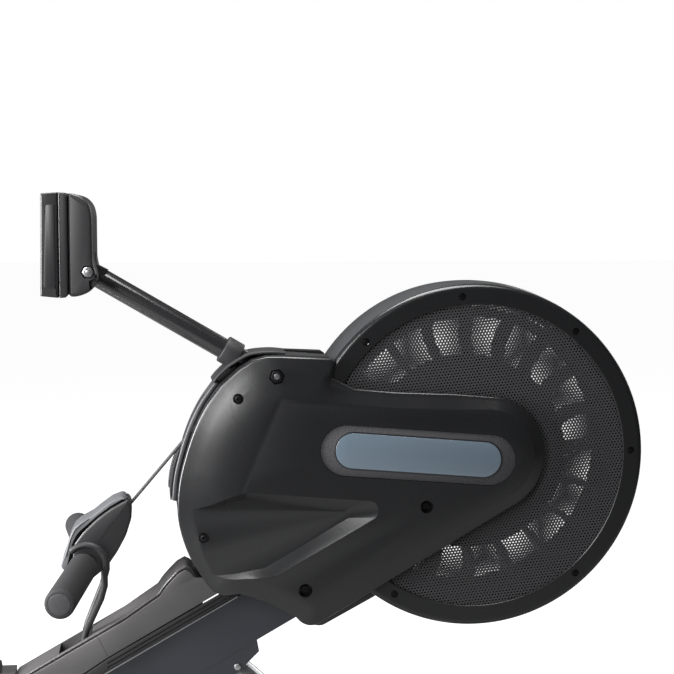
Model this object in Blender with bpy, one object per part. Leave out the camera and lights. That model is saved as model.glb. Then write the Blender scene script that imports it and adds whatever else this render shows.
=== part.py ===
"""Air rowing machine: a caged fan wheel on a sloping beam, a sliding seat on a rail, and a corded handle."""

import math

import bpy
from mathutils import Matrix, Vector

# Driving dimensions, in metres. X runs from the rear foot to the fan, Z is up, and Y = 0 is the middle.
HUB = Vector((0.984, 0.0, 0.700))  # centre of the fan wheel
DRUM_RADIUS = 0.265
DRUM_BULGE = 0.0025  # how much wider the cage's wall is at its middle
GRILLE_RADIUS = 0.2412
RING_FACE = 0.066
COVER_FACE = 0.084
COVER_SEAM = 0.042
COVER_WALL = 0.004
BEAM_SLOPE = math.radians(29.3)
BEAM_TOP = -0.011
BEAM_DEPTH = 0.075
BEAM_HALF_WIDTH = 0.030
RAIL_TOP = 0.370
RAIL_HEIGHT = 0.075
RAIL_REAR = -1.2165
RAIL_FRONT = 0.278
SEAT_X = -0.35
FOOT_BAR = Vector((0.110, 0.0, 0.262))
FOOT_TILT = math.radians(50)
FOOT_Y = 0.125
FRONT_FOOT_X = 0.972
REAR_FOOT_X = -1.165
STABILISER_HALF = 0.265
CORD_RADIUS = 0.0025
GAP = 0.0003  # what touching pieces keep between them
WELD = 0.004  # how far welded pieces reach into each other


def material(name, colour, roughness, metallic=0.0):
    found = bpy.data.materials.get(name)
    if found:
        return found
    made = bpy.data.materials.new(name)
    made.use_nodes = True
    shader = made.node_tree.nodes["Principled BSDF"]
    shader.inputs["Base Color"].default_value = (*colour, 1.0)
    shader.inputs["Roughness"].default_value = roughness
    shader.inputs["Metallic"].default_value = metallic
    return made


def black_plastic():
    return material("black_plastic", (0.018, 0.018, 0.020), 0.45)


def black_paint():
    return material("black_paint", (0.020, 0.022, 0.026), 0.35)


def rubber():
    return material("rubber", (0.022, 0.022, 0.023), 0.75)


def aluminium():
    return material("aluminium", (0.62, 0.63, 0.65), 0.30, 1.0)


def steel():
    return material("steel", (0.50, 0.50, 0.52), 0.30, 1.0)


def silver_paint():
    return material("silver_paint", (0.48, 0.49, 0.50), 0.35, 0.6)


def add(name, points, faces, finish, origin=HUB):
    """A closed mesh, with its origin at the given place."""
    mesh = bpy.data.meshes.new(name)
    mesh.from_pydata([tuple(point) for point in points], [], faces)
    mesh.update()
    mesh.shade_smooth()
    mesh.set_sharp_from_angle(angle=math.radians(32))
    made = bpy.data.objects.new(name, mesh)
    made.location = origin
    made.data.materials.append(finish)
    bpy.context.scene.collection.objects.link(made)
    return made


def signed_area(outline):
    area = 0.0
    for (x0, z0), (x1, z1) in zip(outline, outline[1:] + outline[:1]):
        area += x0 * z1 - x1 * z0
    return area / 2


def prism(name, outline, y_low, y_high, finish, origin=HUB):
    """An outline in X and Z, extruded along Y."""
    if signed_area(outline) < 0:
        outline = outline[::-1]
    count = len(outline)
    points = [(x, y_low, z) for x, z in outline] + [(x, y_high, z) for x, z in outline]
    faces = [tuple(range(count)), tuple(range(2 * count - 1, count - 1, -1))]
    for i in range(count):
        j = (i + 1) % count
        faces.append((i, i + count, j + count, j))
    return add(name, points, faces, finish, origin)


def bar(name, outline, x_low, x_high, finish, origin):
    """An outline in Y and Z, extruded along X."""
    if signed_area(outline) < 0:
        outline = outline[::-1]
    count = len(outline)
    points = [(x_low, y, z) for y, z in outline] + [(x_high, y, z) for y, z in outline]
    faces = [tuple(range(count - 1, -1, -1)), tuple(range(count, 2 * count))]
    for i in range(count):
        j = (i + 1) % count
        faces.append((i, j, j + count, i + count))
    return add(name, points, faces, finish, origin)


def block(name, low, high, finish, origin=HUB):
    outline = [(low[0], low[2]), (high[0], low[2]), (high[0], high[2]), (low[0], high[2])]
    return prism(name, outline, low[1], high[1], finish, origin)


def turned(name, profile, finish, origin=HUB, steps=48):
    """A closed profile of (radius, y) points, turned about the Y axis. Points at radius 0 become poles."""
    points = []
    rows = []
    for radius, y in profile:
        if radius < 1e-6:
            rows.append([len(points)] * steps)
            points.append((0.0, y, 0.0))
            continue
        rows.append(list(range(len(points), len(points) + steps)))
        for i in range(steps):
            angle = math.tau * i / steps
            points.append((radius * math.cos(angle), y, radius * math.sin(angle)))
    faces = []
    for row, following in zip(rows, rows[1:] + rows[:1]):
        for i in range(steps):
            j = (i + 1) % steps
            corners = []
            for corner in (row[i], row[j], following[j], following[i]):
                if corner not in corners:
                    corners.append(corner)
            if len(corners) > 2:
                faces.append(tuple(corners))
    area = signed_area([(radius, y) for radius, y in profile])
    if area > 0:
        faces = [face[::-1] for face in faces]
    return add(name, points, faces, finish, origin)


def disc(name, radius, y_low, y_high, finish, origin=HUB, steps=32, bore=0.0):
    """A round piece along Y, with a bore where one is given."""
    profile = [(bore, y_low), (radius, y_low), (radius, y_high), (bore, y_high)]
    return turned(name, profile, finish, origin, steps)


def rod(name, start, end, radius, finish, sides=20):
    """A straight round bar between two points, with its origin at the first."""
    along = Vector(end) - Vector(start)
    turn = Vector((0, 1, 0)).rotation_difference(along).to_matrix().to_4x4()
    made = disc(name, radius, 0.0, along.length, finish, (0, 0, 0), sides)
    made.data.transform(turn)
    made.location = start
    return made


def swept(name, route, radius, finish, resolution=3):
    """A round bar along a smooth route, as a curve with filled caps."""
    curve = bpy.data.curves.new(name, "CURVE")
    curve.dimensions = "3D"
    curve.bevel_depth = radius
    curve.bevel_resolution = resolution
    curve.use_fill_caps = True
    spline = curve.splines.new("POLY")
    spline.points.add(len(route) - 1)
    for target, point in zip(spline.points, route):
        target.co = (*point, 1.0)
    made = bpy.data.objects.new(name, curve)
    made.data.materials.append(finish)
    bpy.context.scene.collection.objects.link(made)
    return made


def combine(target, tool, operation):
    """Cuts the tool from the target, or joins it to the target, and hides the tool."""
    modifier = target.modifiers.new(operation.lower() + "_" + tool.name, "BOOLEAN")
    modifier.operation = operation
    modifier.object = tool
    modifier.solver = "EXACT"
    tool.hide_render = True
    tool.display_type = "WIRE"
    return target


def cut(target, tool):
    return combine(target, tool, "DIFFERENCE")


def join(target, tool):
    return combine(target, tool, "UNION")


def arc(centre, radius, start, end, count):
    """Points on a circle in X and Z, from one angle to another, in degrees."""
    points = []
    for i in range(count + 1):
        angle = math.radians(start + (end - start) * i / count)
        points.append((centre[0] + radius * math.cos(angle), centre[1] + radius * math.sin(angle)))
    return points


def inset(outline, distance):
    """The closed outline moved inwards. It runs anticlockwise."""
    if signed_area(outline) < 0:
        outline = outline[::-1]
    moved = []
    for before, here, after in zip(outline[-1:] + outline[:-1], outline, outline[1:] + outline[:1]):
        first = Vector((here[0] - before[0], here[1] - before[1])).normalized()
        second = Vector((after[0] - here[0], after[1] - here[1])).normalized()
        normal_a = Vector((-first.y, first.x))
        normal_b = Vector((-second.y, second.x))
        middle = (normal_a + normal_b).normalized()
        reach = distance / max(middle.dot(normal_a), 0.35)
        moved.append((here[0] + middle.x * reach, here[1] + middle.y * reach))
    return moved


def on_beam(along, above):
    """A point in X and Z from the hub, along the sloping beam and square above its top line."""
    height = BEAM_TOP + above
    x = along * math.cos(BEAM_SLOPE) - height * math.sin(BEAM_SLOPE)
    z = along * math.sin(BEAM_SLOPE) + height * math.cos(BEAM_SLOPE)
    return (x, z)


def beam_line(x, above):
    """The height, from the hub, of a line parallel to the beam's top at this X."""
    return (BEAM_TOP + above + math.sin(BEAM_SLOPE) * x) / math.cos(BEAM_SLOPE)


def clear_scene():
    for old in list(bpy.data.objects):
        bpy.data.objects.remove(old, do_unlink=True)


# ---------------------------------------------------------------- housing

LEFT_EDGE = (
    [(-0.390, 0.115), (-0.411, 0.086), (-0.426, 0.058), (-0.437, 0.030), (-0.446, 0.001), (-0.453, -0.028)]
    + [(-0.4565, -0.060), (-0.4555, -0.090), (-0.448, -0.122), (-0.436, -0.152), (-0.419, -0.180)]
)
COVER_OUTLINE = (
    [(-0.224, 0.125), (-0.219, 0.152), (-0.301, 0.158), (-0.338, 0.154), (-0.362, 0.140)]
    + LEFT_EDGE
    + [(-0.405, -0.199), (-0.389, -0.207), (-0.364, -0.203), (-0.327, -0.216), (-0.280, -0.240)]
    + arc((-0.255, -0.229), 0.026, 220, 300, 4)
    + arc((0.017, 0.003), 0.090, -62, 87, 16)
    + [(-0.037, 0.098), (-0.127, 0.102), (-0.189, 0.108)]
)
SPINE_OUTER = (
    [(-0.2195, 0.1505), (-0.301, 0.1565), (-0.337, 0.1525), (-0.361, 0.1385)]
    + [(x + 0.0012, z) for x, z in LEFT_EDGE]
)


def drum_space(name, clearance):
    reach = RING_FACE + clearance
    return disc(name, DRUM_RADIUS + DRUM_BULGE + clearance, -reach, reach, black_plastic(), HUB, 72)


def make_cover(name, side):
    """One moulded half of the housing: a face with a rim, hollow inside, resting on the drum."""
    face, seam = side * COVER_FACE, side * (COVER_SEAM + GAP)
    cover = prism(name, COVER_OUTLINE, min(face, seam), max(face, seam), black_plastic())
    inner = side * (COVER_FACE - COVER_WALL)
    hollow_end = side * (COVER_SEAM - 0.01)
    low, high = sorted((inner, hollow_end))
    hollow = prism(name + "_hollow", inset(COVER_OUTLINE, COVER_WALL), low, high, black_plastic())
    cut(cover, hollow)
    cut(cover, drum_space(name + "_drum_space", GAP))
    return cover


def make_spine():
    """The strip between the covers, from the drum round to the beam, with a hole for the post and the cord."""
    inner = []
    for i, (x, z) in enumerate(SPINE_OUTER):
        before = Vector(SPINE_OUTER[max(i - 1, 0)])
        after = Vector(SPINE_OUTER[min(i + 1, len(SPINE_OUTER) - 1)])
        along = (after - before).normalized()
        inner.append((x - along.y * COVER_WALL, z + along.x * COVER_WALL))
    half = COVER_SEAM - GAP
    spine = prism("cover_spine", SPINE_OUTER + inner[::-1], -half, half, black_plastic())
    cut(spine, drum_space("spine_drum_space", GAP))
    post_hole = rod("spine_post_hole", POST_TOP, POST_FOOT, POST_RADIUS + 0.001, black_plastic(), 32)
    cut(spine, post_hole)
    middle = CORD_MOUTH
    slot = block("spine_cord_slot", (-0.03, -0.011, -0.035), (0.04, 0.011, 0.045), black_plastic(), middle)
    cut(spine, slot)
    return spine


def make_belly_pan():
    """The tray under the beam's upper end, between the covers and the cage."""
    outline = [(-0.2620, -0.2472), (-0.2500, -0.2635), (-0.2360, -0.2655), (-0.1280, -0.2080), (-0.1230, -0.1900)]
    pan = prism("belly_pan", outline + [(-0.2050, -0.2158)], -0.0412, 0.0412, black_plastic())
    return cut(pan, drum_space("pan_drum_space", GAP))


def make_cord_guide():
    """The raised pad on the spine, with the slot that the cord comes out of."""
    inner = [(x - 0.0004, z) for x, z in LEFT_EDGE[:7]]
    outer = [(x - 0.0085, z + 0.002) for x, z in LEFT_EDGE[:7]]
    guide = prism("cord_guide", outer + inner[::-1], -0.026, 0.026, black_plastic())
    slot = block("guide_cord_slot", (-0.03, -0.008, -0.030), (0.04, 0.008, 0.040), black_plastic(), CORD_MOUTH)
    cut(guide, slot)
    return guide


def make_drum():
    """The round cage: a wall, a ring on each side, and a flat grille behind each ring."""
    wall_y = RING_FACE - 0.0078
    outside = [(DRUM_RADIUS, -wall_y), (DRUM_RADIUS + DRUM_BULGE, 0.0), (DRUM_RADIUS, wall_y)]
    profile = [(0.260, -wall_y)] + outside + [(0.260, wall_y)]
    turned("drum_wall", profile, black_plastic(), HUB, 72)
    for side, word in ((-1, "near"), (1, "far")):
        face, back = side * RING_FACE, side * (RING_FACE - 0.0075)
        grille_y = side * (RING_FACE - 0.0037)
        profile = [
            (0.234, face),
            (0.259, face),
            (DRUM_RADIUS - 0.0015, face - side * 0.0015),
            (DRUM_RADIUS, face - side * 0.005),
            (DRUM_RADIUS, back),
            (GRILLE_RADIUS + GAP, back),
            (GRILLE_RADIUS + GAP, grille_y),
            (0.234, grille_y),
        ]
        turned("drum_ring_" + word, profile, black_plastic(), HUB, 72)
        low, high = sorted((grille_y - side * GAP, grille_y - side * 0.0018))
        disc("grille_" + word, GRILLE_RADIUS, low, high, black_paint(), HUB, 72, bore=0.016)


def make_fan():
    """The fan wheel, with radial blades, turning on its axle."""
    blades = 20
    root, tip, half_thickness = 0.120, 0.226, 0.0025
    outline = []
    for i in range(blades):
        middle = math.tau * i / blades
        for radius in (root, tip, tip, root):
            swing = half_thickness / radius
            sign = -1 if len(outline) % 4 < 2 else 1
            angle = middle + sign * swing
            outline.append((radius * math.cos(angle), radius * math.sin(angle)))
    fan = prism("fan_wheel", outline, -0.030, 0.030, aluminium())
    cut(fan, disc("fan_bore", 0.0104, -0.04, 0.04, steel()))
    for side, word in ((-1, "near"), (1, "far")):
        low, high = sorted((side * 0.022, side * 0.04))
        cut(fan, disc("fan_recess_" + word, 0.105, low, high, steel(), HUB, 48, bore=0.030))
    disc("fan_axle", 0.010, -0.0765, 0.0765, steel(), HUB, 32)
    disc("drive_pulley", 0.033, 0.034, 0.050, aluminium(), HUB, 40, bore=0.0104)


def make_inner_frame(beam):
    """What the covers hide: two arms that hold the axle, and the post's socket, which is welded to the beam."""
    for side, word in ((-1, "near"), (1, "far")):
        low, high = sorted((side * 0.068, side * 0.074))
        outline = [(-0.345, 0.045), (-0.345, -0.040), (-0.285, -0.042)] + arc((0, 0), 0.042, -88, 88, 12)
        arm = prism("axle_arm_" + word, outline, low, high, black_paint())
        cut(arm, disc("arm_bore_" + word, 0.0103, low - 0.01, high + 0.01, steel()))
    low_left = (-0.345, beam_line(-0.345, -WELD))
    low_right = (-0.287, beam_line(-0.287, -WELD))
    outline = [low_left, low_right, (-0.287, 0.0845), (-0.345, 0.1185)]
    join(beam, prism("post_socket", outline, -0.0277, 0.0277, black_paint()))
    cross = [(-0.340, -0.035), (-0.295, -0.035), (-0.295, 0.040), (-0.340, 0.040)]
    join(beam, prism("socket_cross", cross, -0.0677, 0.0677, black_paint()))


# ---------------------------------------------------------------- post and console

POST_RADIUS = 0.016
POST_TOP = HUB + Vector((-0.571, 0, 0.275))
POST_FOOT = HUB + Vector((-0.2935, 0, 0.1115))
CONSOLE_HINGE = HUB + Vector((-0.584, 0, 0.287))
CONSOLE_HALF = 0.105
CONSOLE_NOTCH = 0.0178


def make_post():
    post = rod("console_post", POST_TOP, POST_FOOT, POST_RADIUS, black_paint(), 32)
    along = (POST_FOOT - POST_TOP).normalized()
    square = Vector((along.z, 0, -along.x))
    shift = POST_TOP - CONSOLE_HINGE + along * WELD
    lower = shift + square * (POST_RADIUS - 0.002)
    upper = shift - square * (POST_RADIUS - 0.002)
    if lower.z > upper.z:
        lower, upper = upper, lower
    outline = arc((0, 0), 0.012, 60, 250, 10) + [(lower.x, lower.z), (upper.x, upper.z)]
    lug = prism("console_lug", outline, -0.0172, 0.0172, black_paint(), CONSOLE_HINGE)
    join(post, lug)
    cut(post, disc("lug_bore", 0.0043, -0.03, 0.03, steel(), CONSOLE_HINGE, 20))
    disc("console_bolt", 0.0040, -0.094, 0.094, steel(), CONSOLE_HINGE, 20)


def make_console():
    """The console, in two moulded halves, with a display and three buttons that face the rower."""
    def from_hinge(points):
        shift = CONSOLE_HINGE - HUB
        return [(x - shift.x, z - shift.z) for x, z in points]

    bezel = from_hinge([(-0.652, 0.252), (-0.6253, 0.2495), (-0.6253, 0.403), (-0.650, 0.401)])
    front = prism("console_bezel", bezel, -CONSOLE_HALF, CONSOLE_HALF, black_plastic(), CONSOLE_HINGE)
    window = block("bezel_window", (-0.075, -0.082, 0.004), (-0.0640, 0.082, 0.1), black_plastic(), CONSOLE_HINGE)
    cut(front, window)
    shell = from_hinge(
        [(-0.625, 0.2495), (-0.598, 0.252), (-0.585, 0.258), (-0.573, 0.267), (-0.571, 0.280), (-0.575, 0.312)]
        + [(-0.572, 0.376), (-0.577, 0.390), (-0.588, 0.399), (-0.609, 0.402), (-0.625, 0.403)]
    )
    rear = prism("console_housing", shell, -CONSOLE_HALF, CONSOLE_HALF, black_plastic(), CONSOLE_HINGE)
    notch = block(
        "housing_notch", (-0.019, -CONSOLE_NOTCH, -0.05), (0.04, CONSOLE_NOTCH, 0.026), steel(), CONSOLE_HINGE
    )
    cut(rear, notch)
    cut(rear, disc("housing_bore", 0.0044, -0.13, 0.13, steel(), CONSOLE_HINGE, 20))
    screen = block(
        "console_screen", (-0.0675, -0.0817, 0.0043), (-0.0643, 0.0817, 0.0997),
        material("display", (0.05, 0.06, 0.06), 0.12), CONSOLE_HINGE
    )
    screen.data.materials[0].diffuse_color = (0.05, 0.06, 0.06, 1.0)
    for i, word in enumerate(("left", "middle", "right")):
        y = 0.045 * (i - 1)
        place = CONSOLE_HINGE + Vector((-0.0665, y, -0.015))
        well = rod("well_" + word, place - Vector((0.02, 0, 0)), place + Vector((0.0065, 0, 0)), 0.0078, steel(), 24)
        cut(front, well)
        rod("button_" + word, place - Vector((0.0030, 0, 0)), place + Vector((0.0045, 0, 0)), 0.0075, rubber(), 24)


# ---------------------------------------------------------------- beam, rail and legs


def make_beam():
    start, end = -0.951, -0.290
    outline = [on_beam(start, 0), on_beam(start, -BEAM_DEPTH), on_beam(end, -BEAM_DEPTH), on_beam(end, 0)]
    return prism("main_beam", outline, -BEAM_HALF_WIDTH, BEAM_HALF_WIDTH, black_paint())


def make_beam_covers():
    """The moulded cover on the beam's top, with its hump, and a panel on each side of the beam."""
    top = [
        (-0.698, beam_line(-0.698, 0.0010)),
        (-0.703, beam_line(-0.703, 0.0550)),
        (-0.684, beam_line(-0.684, 0.0610)),
        (-0.500, beam_line(-0.500, 0.0605)),
        (-0.472, -0.187),
        (-0.456, -0.1765),
        (-0.446, -0.1765),
        (-0.437, -0.187),
        (-0.430, -0.187),
        (-0.424, -0.200),
        (-0.418, beam_line(-0.418, 0.0010)),
    ]
    cover = prism("beam_cover", top, -0.035, 0.035, black_plastic())
    cut(cover, block("hook_slot", (-0.640, -0.0285, -0.320), (-0.5850, 0.0285, -0.2), steel()))
    for side, word in ((-1, "near"), (1, "far")):
        low, high = sorted((side * (0.035 + GAP), side * 0.041))
        outline = [(x, beam_line(x, above)) for x, above in (
            (-0.703, 0.048), (-0.470, 0.050), (-0.425, 0.040), (-0.405, 0.004), (-0.565, 0.004), (-0.703, -0.004)
        )]
        prism("beam_panel_" + word, outline, low, high, black_plastic())


def make_rail(beam):
    """The seat's rail, and the bracket under its front end, which is welded to the beam."""
    half, lip, web, low = 0.030, 0.012, 0.018, RAIL_TOP - RAIL_HEIGHT
    side = [(half, low), (half, low + lip), (web, low + lip), (web, RAIL_TOP - lip)]
    side += [(half, RAIL_TOP - lip), (half, RAIL_TOP)]
    outline = side + [(-y, z) for y, z in reversed(side)]
    bar("monorail", outline, RAIL_REAR, RAIL_FRONT, aluminium(), (0, 0, 0))
    cap = [(RAIL_REAR - GAP, 0.288), (RAIL_REAR - 0.035, 0.300), (RAIL_REAR - 0.035, 0.365), (RAIL_REAR - GAP, 0.377)]
    prism("rail_end_cap", cap, -0.034, 0.034, black_plastic(), (0, 0, 0))
    under = RAIL_TOP - RAIL_HEIGHT - GAP
    hub_line = [(x + HUB.x, beam_line(x, -WELD) + HUB.z) for x in (-0.712, -0.822)]
    wedge = [(hub_line[0][0], under), (0.050, under), (0.050, 0.262), (0.080, 0.238), (0.130, 0.232), hub_line[1]]
    join(beam, prism("rail_bracket", wedge, -0.028, 0.028, black_paint(), (0, 0, 0)))
    cut(beam, disc("bracket_bore", 0.0114, -0.05, 0.05, steel(), FOOT_BAR, 28))


def make_stabiliser(word, x, height_radius, leg_start, leg_finish):
    """A leg down to a cross bar, with a rubber pad under each end."""
    bar_z = 0.040
    start = Vector(leg_start)
    end = Vector((x, 0, bar_z))
    along = (end - start).normalized()
    leg = rod(word + "_leg", start, end, 0.024, leg_finish, 28)
    join(leg, disc(
        word + "_foot_bar", height_radius, -STABILISER_HALF, STABILISER_HALF, leg_finish, (x, 0, bar_z), 28
    ))
    for side, hand in ((-1, "near"), (1, "far")):
        y = side * (STABILISER_HALF - 0.045)
        low = (x - 0.024, y - 0.022, 0.0)
        high = (x + 0.024, y + 0.022, 0.038)
        pad = block(word + "_pad_" + hand, low, high, rubber(), (0, 0, 0))
        cut(pad, disc(word + "_pad_hollow_" + hand, height_radius + GAP, -0.4, 0.4, steel(), (x, 0, bar_z), 28))
    return leg


def make_legs(beam):
    front_start = HUB + Vector((-0.372, 0, -0.338))
    front = make_stabiliser("front", FRONT_FOOT_X, 0.026, front_start, silver_paint())
    outline = [
        (-0.434, beam_line(-0.434, WELD - BEAM_DEPTH)),
        (-0.336, beam_line(-0.336, WELD - BEAM_DEPTH)),
        (-0.332, -0.305),
        (-0.396, -0.368),
        (-0.436, -0.352),
    ]
    join(beam, prism("leg_bracket", outline, -0.0295, 0.0295, black_paint()))
    direction = (Vector((FRONT_FOOT_X, 0, 0.040)) - front_start).normalized()
    socket = rod("leg_socket", front_start - direction * GAP, front_start + direction * 0.12, 0.0243, steel(), 28)
    cut(beam, socket)
    rear = make_stabiliser("rear", REAR_FOOT_X, 0.026, (REAR_FOOT_X + 0.02, 0, 0.2900), black_paint())
    plate_top = RAIL_TOP - RAIL_HEIGHT - GAP
    plate_low, plate_high = (-1.205, -0.028, plate_top - 0.008), (-1.085, 0.028, plate_top)
    join(rear, block("rear_leg_plate", plate_low, plate_high, black_paint(), (0, 0, 0)))
    for side, word in ((-1, "near"), (1, "far")):
        low, high = sorted((side * 0.150, side * 0.174))
        place = (FRONT_FOOT_X + 0.056, 0, 0.0352)
        disc("transport_wheel_" + word, 0.028, low, high, rubber(), place, 32, bore=0.0043)
        fork = [(-0.056, 0.006), (0.0, 0.009), (0.008, 0.0), (0.0, -0.009), (-0.056, -0.006)]
        inner_low, inner_high = sorted((side * 0.141, side * 0.1495))
        join(front, prism("wheel_lug_" + word, fork, inner_low, inner_high, silver_paint(), place))
        axle_low, axle_high = sorted((side * 0.143, side * 0.177))
        join(front, disc("wheel_axle_" + word, 0.0040, axle_low, axle_high, steel(), place, 20))


# ---------------------------------------------------------------- footrests


def make_footrests():
    disc("footrest_bar", 0.011, -0.200, 0.200, steel(), FOOT_BAR, 28)
    tilt = Matrix.Rotation(-FOOT_TILT, 4, "Y")
    for side, word in ((-1, "near"), (1, "far")):
        place = FOOT_BAR + Vector((0, side * FOOT_Y, 0))
        plate = block("footplate_" + word, (-0.130, -0.060, 0.0115), (0.170, 0.060, 0.0215), black_plastic(), place)
        boss = disc("footplate_boss_" + word, 0.019, -0.030, 0.030, black_plastic(), place, 28)
        join(plate, boss)
        cut(plate, disc("footplate_bore_" + word, 0.0112, -0.07, 0.07, steel(), place, 28))
        plate.data.transform(tilt)
        heel = block("heel_cup_" + word, (-0.150, -0.050, 0.0218), (0.010, 0.050, 0.0258), black_plastic(), place)
        outer = block("heel_back_" + word, (-0.150, -0.050, 0.0230), (-0.138, 0.050, 0.0650), black_plastic(), place)
        join(heel, outer)
        heel.data.transform(tilt)
        outer.data.transform(tilt)
        strap_out = arc((0, 0.0215), 0.0655, 0, 180, 18)
        strap_in = arc((0, 0.0215), 0.0635, 180, 0, 18)
        outline = [(y * 0.98, z if z > 0.0215 else 0.0215) for y, z in strap_out + strap_in]
        strap = bar("foot_strap_" + word, outline, 0.055, 0.093, material("webbing", (0.03, 0.03, 0.03), 0.9), place)
        strap.data.transform(tilt)


# ---------------------------------------------------------------- seat


def make_seat():
    place = Vector((SEAT_X, 0, 0))
    roller_z = RAIL_TOP + 0.020 + GAP
    top, wall = 0.4155, 0.004
    outer = [(-0.0385, 0.335), (-0.0385, top + 0.005), (0.0385, top + 0.005), (0.0385, 0.335)]
    inner = [(0.0385 - wall, 0.335), (0.0385 - wall, top), (-0.0385 + wall, top), (-0.0385 + wall, 0.335)]
    carriage = bar("seat_carriage", outer + inner, -0.110, 0.110, steel(), place)
    for shift, word in ((0.080, "front"), (-0.080, "rear")):
        axle_at = place + Vector((shift, 0, roller_z))
        cut(carriage, disc("carriage_bore_" + word, 0.0043, -0.06, 0.06, steel(), axle_at, 20))
        profile = [(0, -0.043), (0.004, -0.043), (0.004, -0.024), (0.020, -0.024)]
        profile += [(radius, -y) for radius, y in reversed(profile)]
        turned("seat_roller_" + word, profile, rubber(), axle_at, 32)
    for side, word in ((-1, "near"), (1, "far")):
        low, high = sorted((side * 0.0205, side * 0.0332))
        axle_at = place + Vector((0, 0, RAIL_TOP - 0.012 - 0.0125 - GAP))
        disc("under_roller_" + word, 0.0120, low, high, rubber(), axle_at, 28)
    pan_low = top + 0.005 + GAP
    block("seat_pan", (-0.100, -0.125, pan_low), (0.105, 0.125, pan_low + 0.008), black_plastic(), place)
    pad_low, pad_high = pan_low + 0.009, pan_low + 0.068
    prism(
        "seat_pad",
        [(-0.130, pad_low + 0.010), (-0.118, pad_low), (0.118, pad_low), (0.130, pad_low + 0.014),
         (0.124, pad_high - 0.006), (0.100, pad_high), (-0.105, pad_high), (-0.128, pad_high - 0.012)],
        -0.160, 0.160, material("seat_foam", (0.02, 0.02, 0.021), 0.8), place
    )


# ---------------------------------------------------------------- handle, cord and hooks

HANDLE = HUB + Vector((-0.593, 0, -0.155))
CORD_MOUTH = HUB + Vector((-0.4525, 0, 0.0145))
CORD_EYE = HUB + Vector((-0.5285, 0, -0.0745))
PULL = (CORD_EYE - CORD_MOUTH).normalized()
IDLER_RADIUS = 0.025


def make_handle():
    """A two-part hub with a bar through it that bends back to a round grip on each side."""
    outline = [
        (-0.628, -0.184), (-0.635, -0.156), (-0.628, -0.134), (-0.614, -0.112), (-0.588, -0.093),
        (-0.556, -0.063), (-0.540, -0.058), (-0.530, -0.068), (-0.525, -0.090), (-0.564, -0.161), (-0.592, -0.188),
    ]
    shift = HANDLE - HUB
    local = [(x - shift.x, z - shift.z) for x, z in outline]
    for side, word in ((-1, "near"), (1, "far")):
        low, high = sorted((side * GAP / 2, side * 0.030))
        shell = prism("handle_shell_" + word, local, low, high, black_plastic(), HANDLE)
        tunnel = disc("shell_tunnel_" + word, 0.0103, -0.05, 0.05, steel(), HANDLE, 24)
        cut(shell, tunnel)
        cord_way = rod("shell_cord_way_" + word, CORD_EYE + PULL * 0.014, CORD_EYE - PULL * 0.05, 0.0034, steel(), 16)
        cut(shell, cord_way)
    ends = [(-0.0222, -0.215, -0.0038), (-0.0136, -0.140, -0.0020), (-0.0055, -0.075, 0.0)]
    points = ends + [(0, -0.032, 0), (0, 0, 0), (0, 0.032, 0)] + [(x, -y, z) for x, y, z in reversed(ends)]
    route = [HANDLE + Vector(point) for point in points]
    swept("handle_bar", route, 0.0100, steel())
    for side, word in ((-1, "near"), (1, "far")):
        start = HANDLE + Vector((-0.0045, side * 0.068, 0))
        end = HANDLE + Vector((-0.0285, side * 0.266, -0.005))
        grip = rod("grip_" + word, start, end, 0.0215, rubber(), 28)
        guide = swept("bar_space_" + word, route, 0.0104, steel())
        bore = bpy.data.objects.new("grip_bore_" + word, bpy.data.meshes.new_from_object(guide))
        bpy.data.objects.remove(guide)
        bpy.context.scene.collection.objects.link(bore)
        cut(grip, bore)


def make_cord():
    """The pull cord, from the handle's hub up into the housing, where it runs over its first pulley."""
    start = CORD_EYE + PULL * 0.012
    end = CORD_MOUTH - PULL * 0.118
    count = 22
    route = [start.lerp(end, i / count) for i in range(count + 1)]
    swept("pull_cord", route, CORD_RADIUS, material("cord", (0.06, 0.06, 0.065), 0.8), 2)
    beside = Vector((-PULL.z, 0, PULL.x))
    centre = CORD_MOUTH - PULL * 0.062 + beside * (IDLER_RADIUS + CORD_RADIUS + 0.001)
    disc("cord_pulley", IDLER_RADIUS, -0.008, 0.008, aluminium(), centre, 40, bore=0.0053)


def make_hooks():
    """Two rubber-covered rods that rise from the beam cover and curl over the handle."""
    for side, word in ((-1, "near"), (1, "far")):
        y = side * 0.054
        foot = [(-0.604, side * 0.018, -0.302), (-0.601, side * 0.019, -0.284), (-0.596, side * 0.021, -0.264)]
        foot += [(-0.585, side * 0.033, -0.238), (-0.573, side * 0.046, -0.210), (-0.567, side * 0.0525, -0.188)]
        centre, radius = (-0.5945, -0.1555), 0.0300
        bend = [(x, y, z) for x, z in arc(centre, radius, -24, 140, 14)]
        route = [HUB + Vector(point) for point in foot + bend]
        swept("handle_hook_" + word, route, 0.0053, rubber(), 2)


def main():
    clear_scene()
    beam = make_beam()
    make_beam_covers()
    make_rail(beam)
    make_legs(beam)
    make_inner_frame(beam)
    make_drum()
    make_fan()
    make_cover("near_cover", -1)
    make_cover("far_cover", 1)
    make_spine()
    make_cord_guide()
    make_belly_pan()
    make_post()
    make_console()
    make_footrests()
    make_seat()
    make_handle()
    make_cord()
    make_hooks()


main()
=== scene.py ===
import math

import bmesh
import bpy
from mathutils import Matrix, Vector


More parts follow.
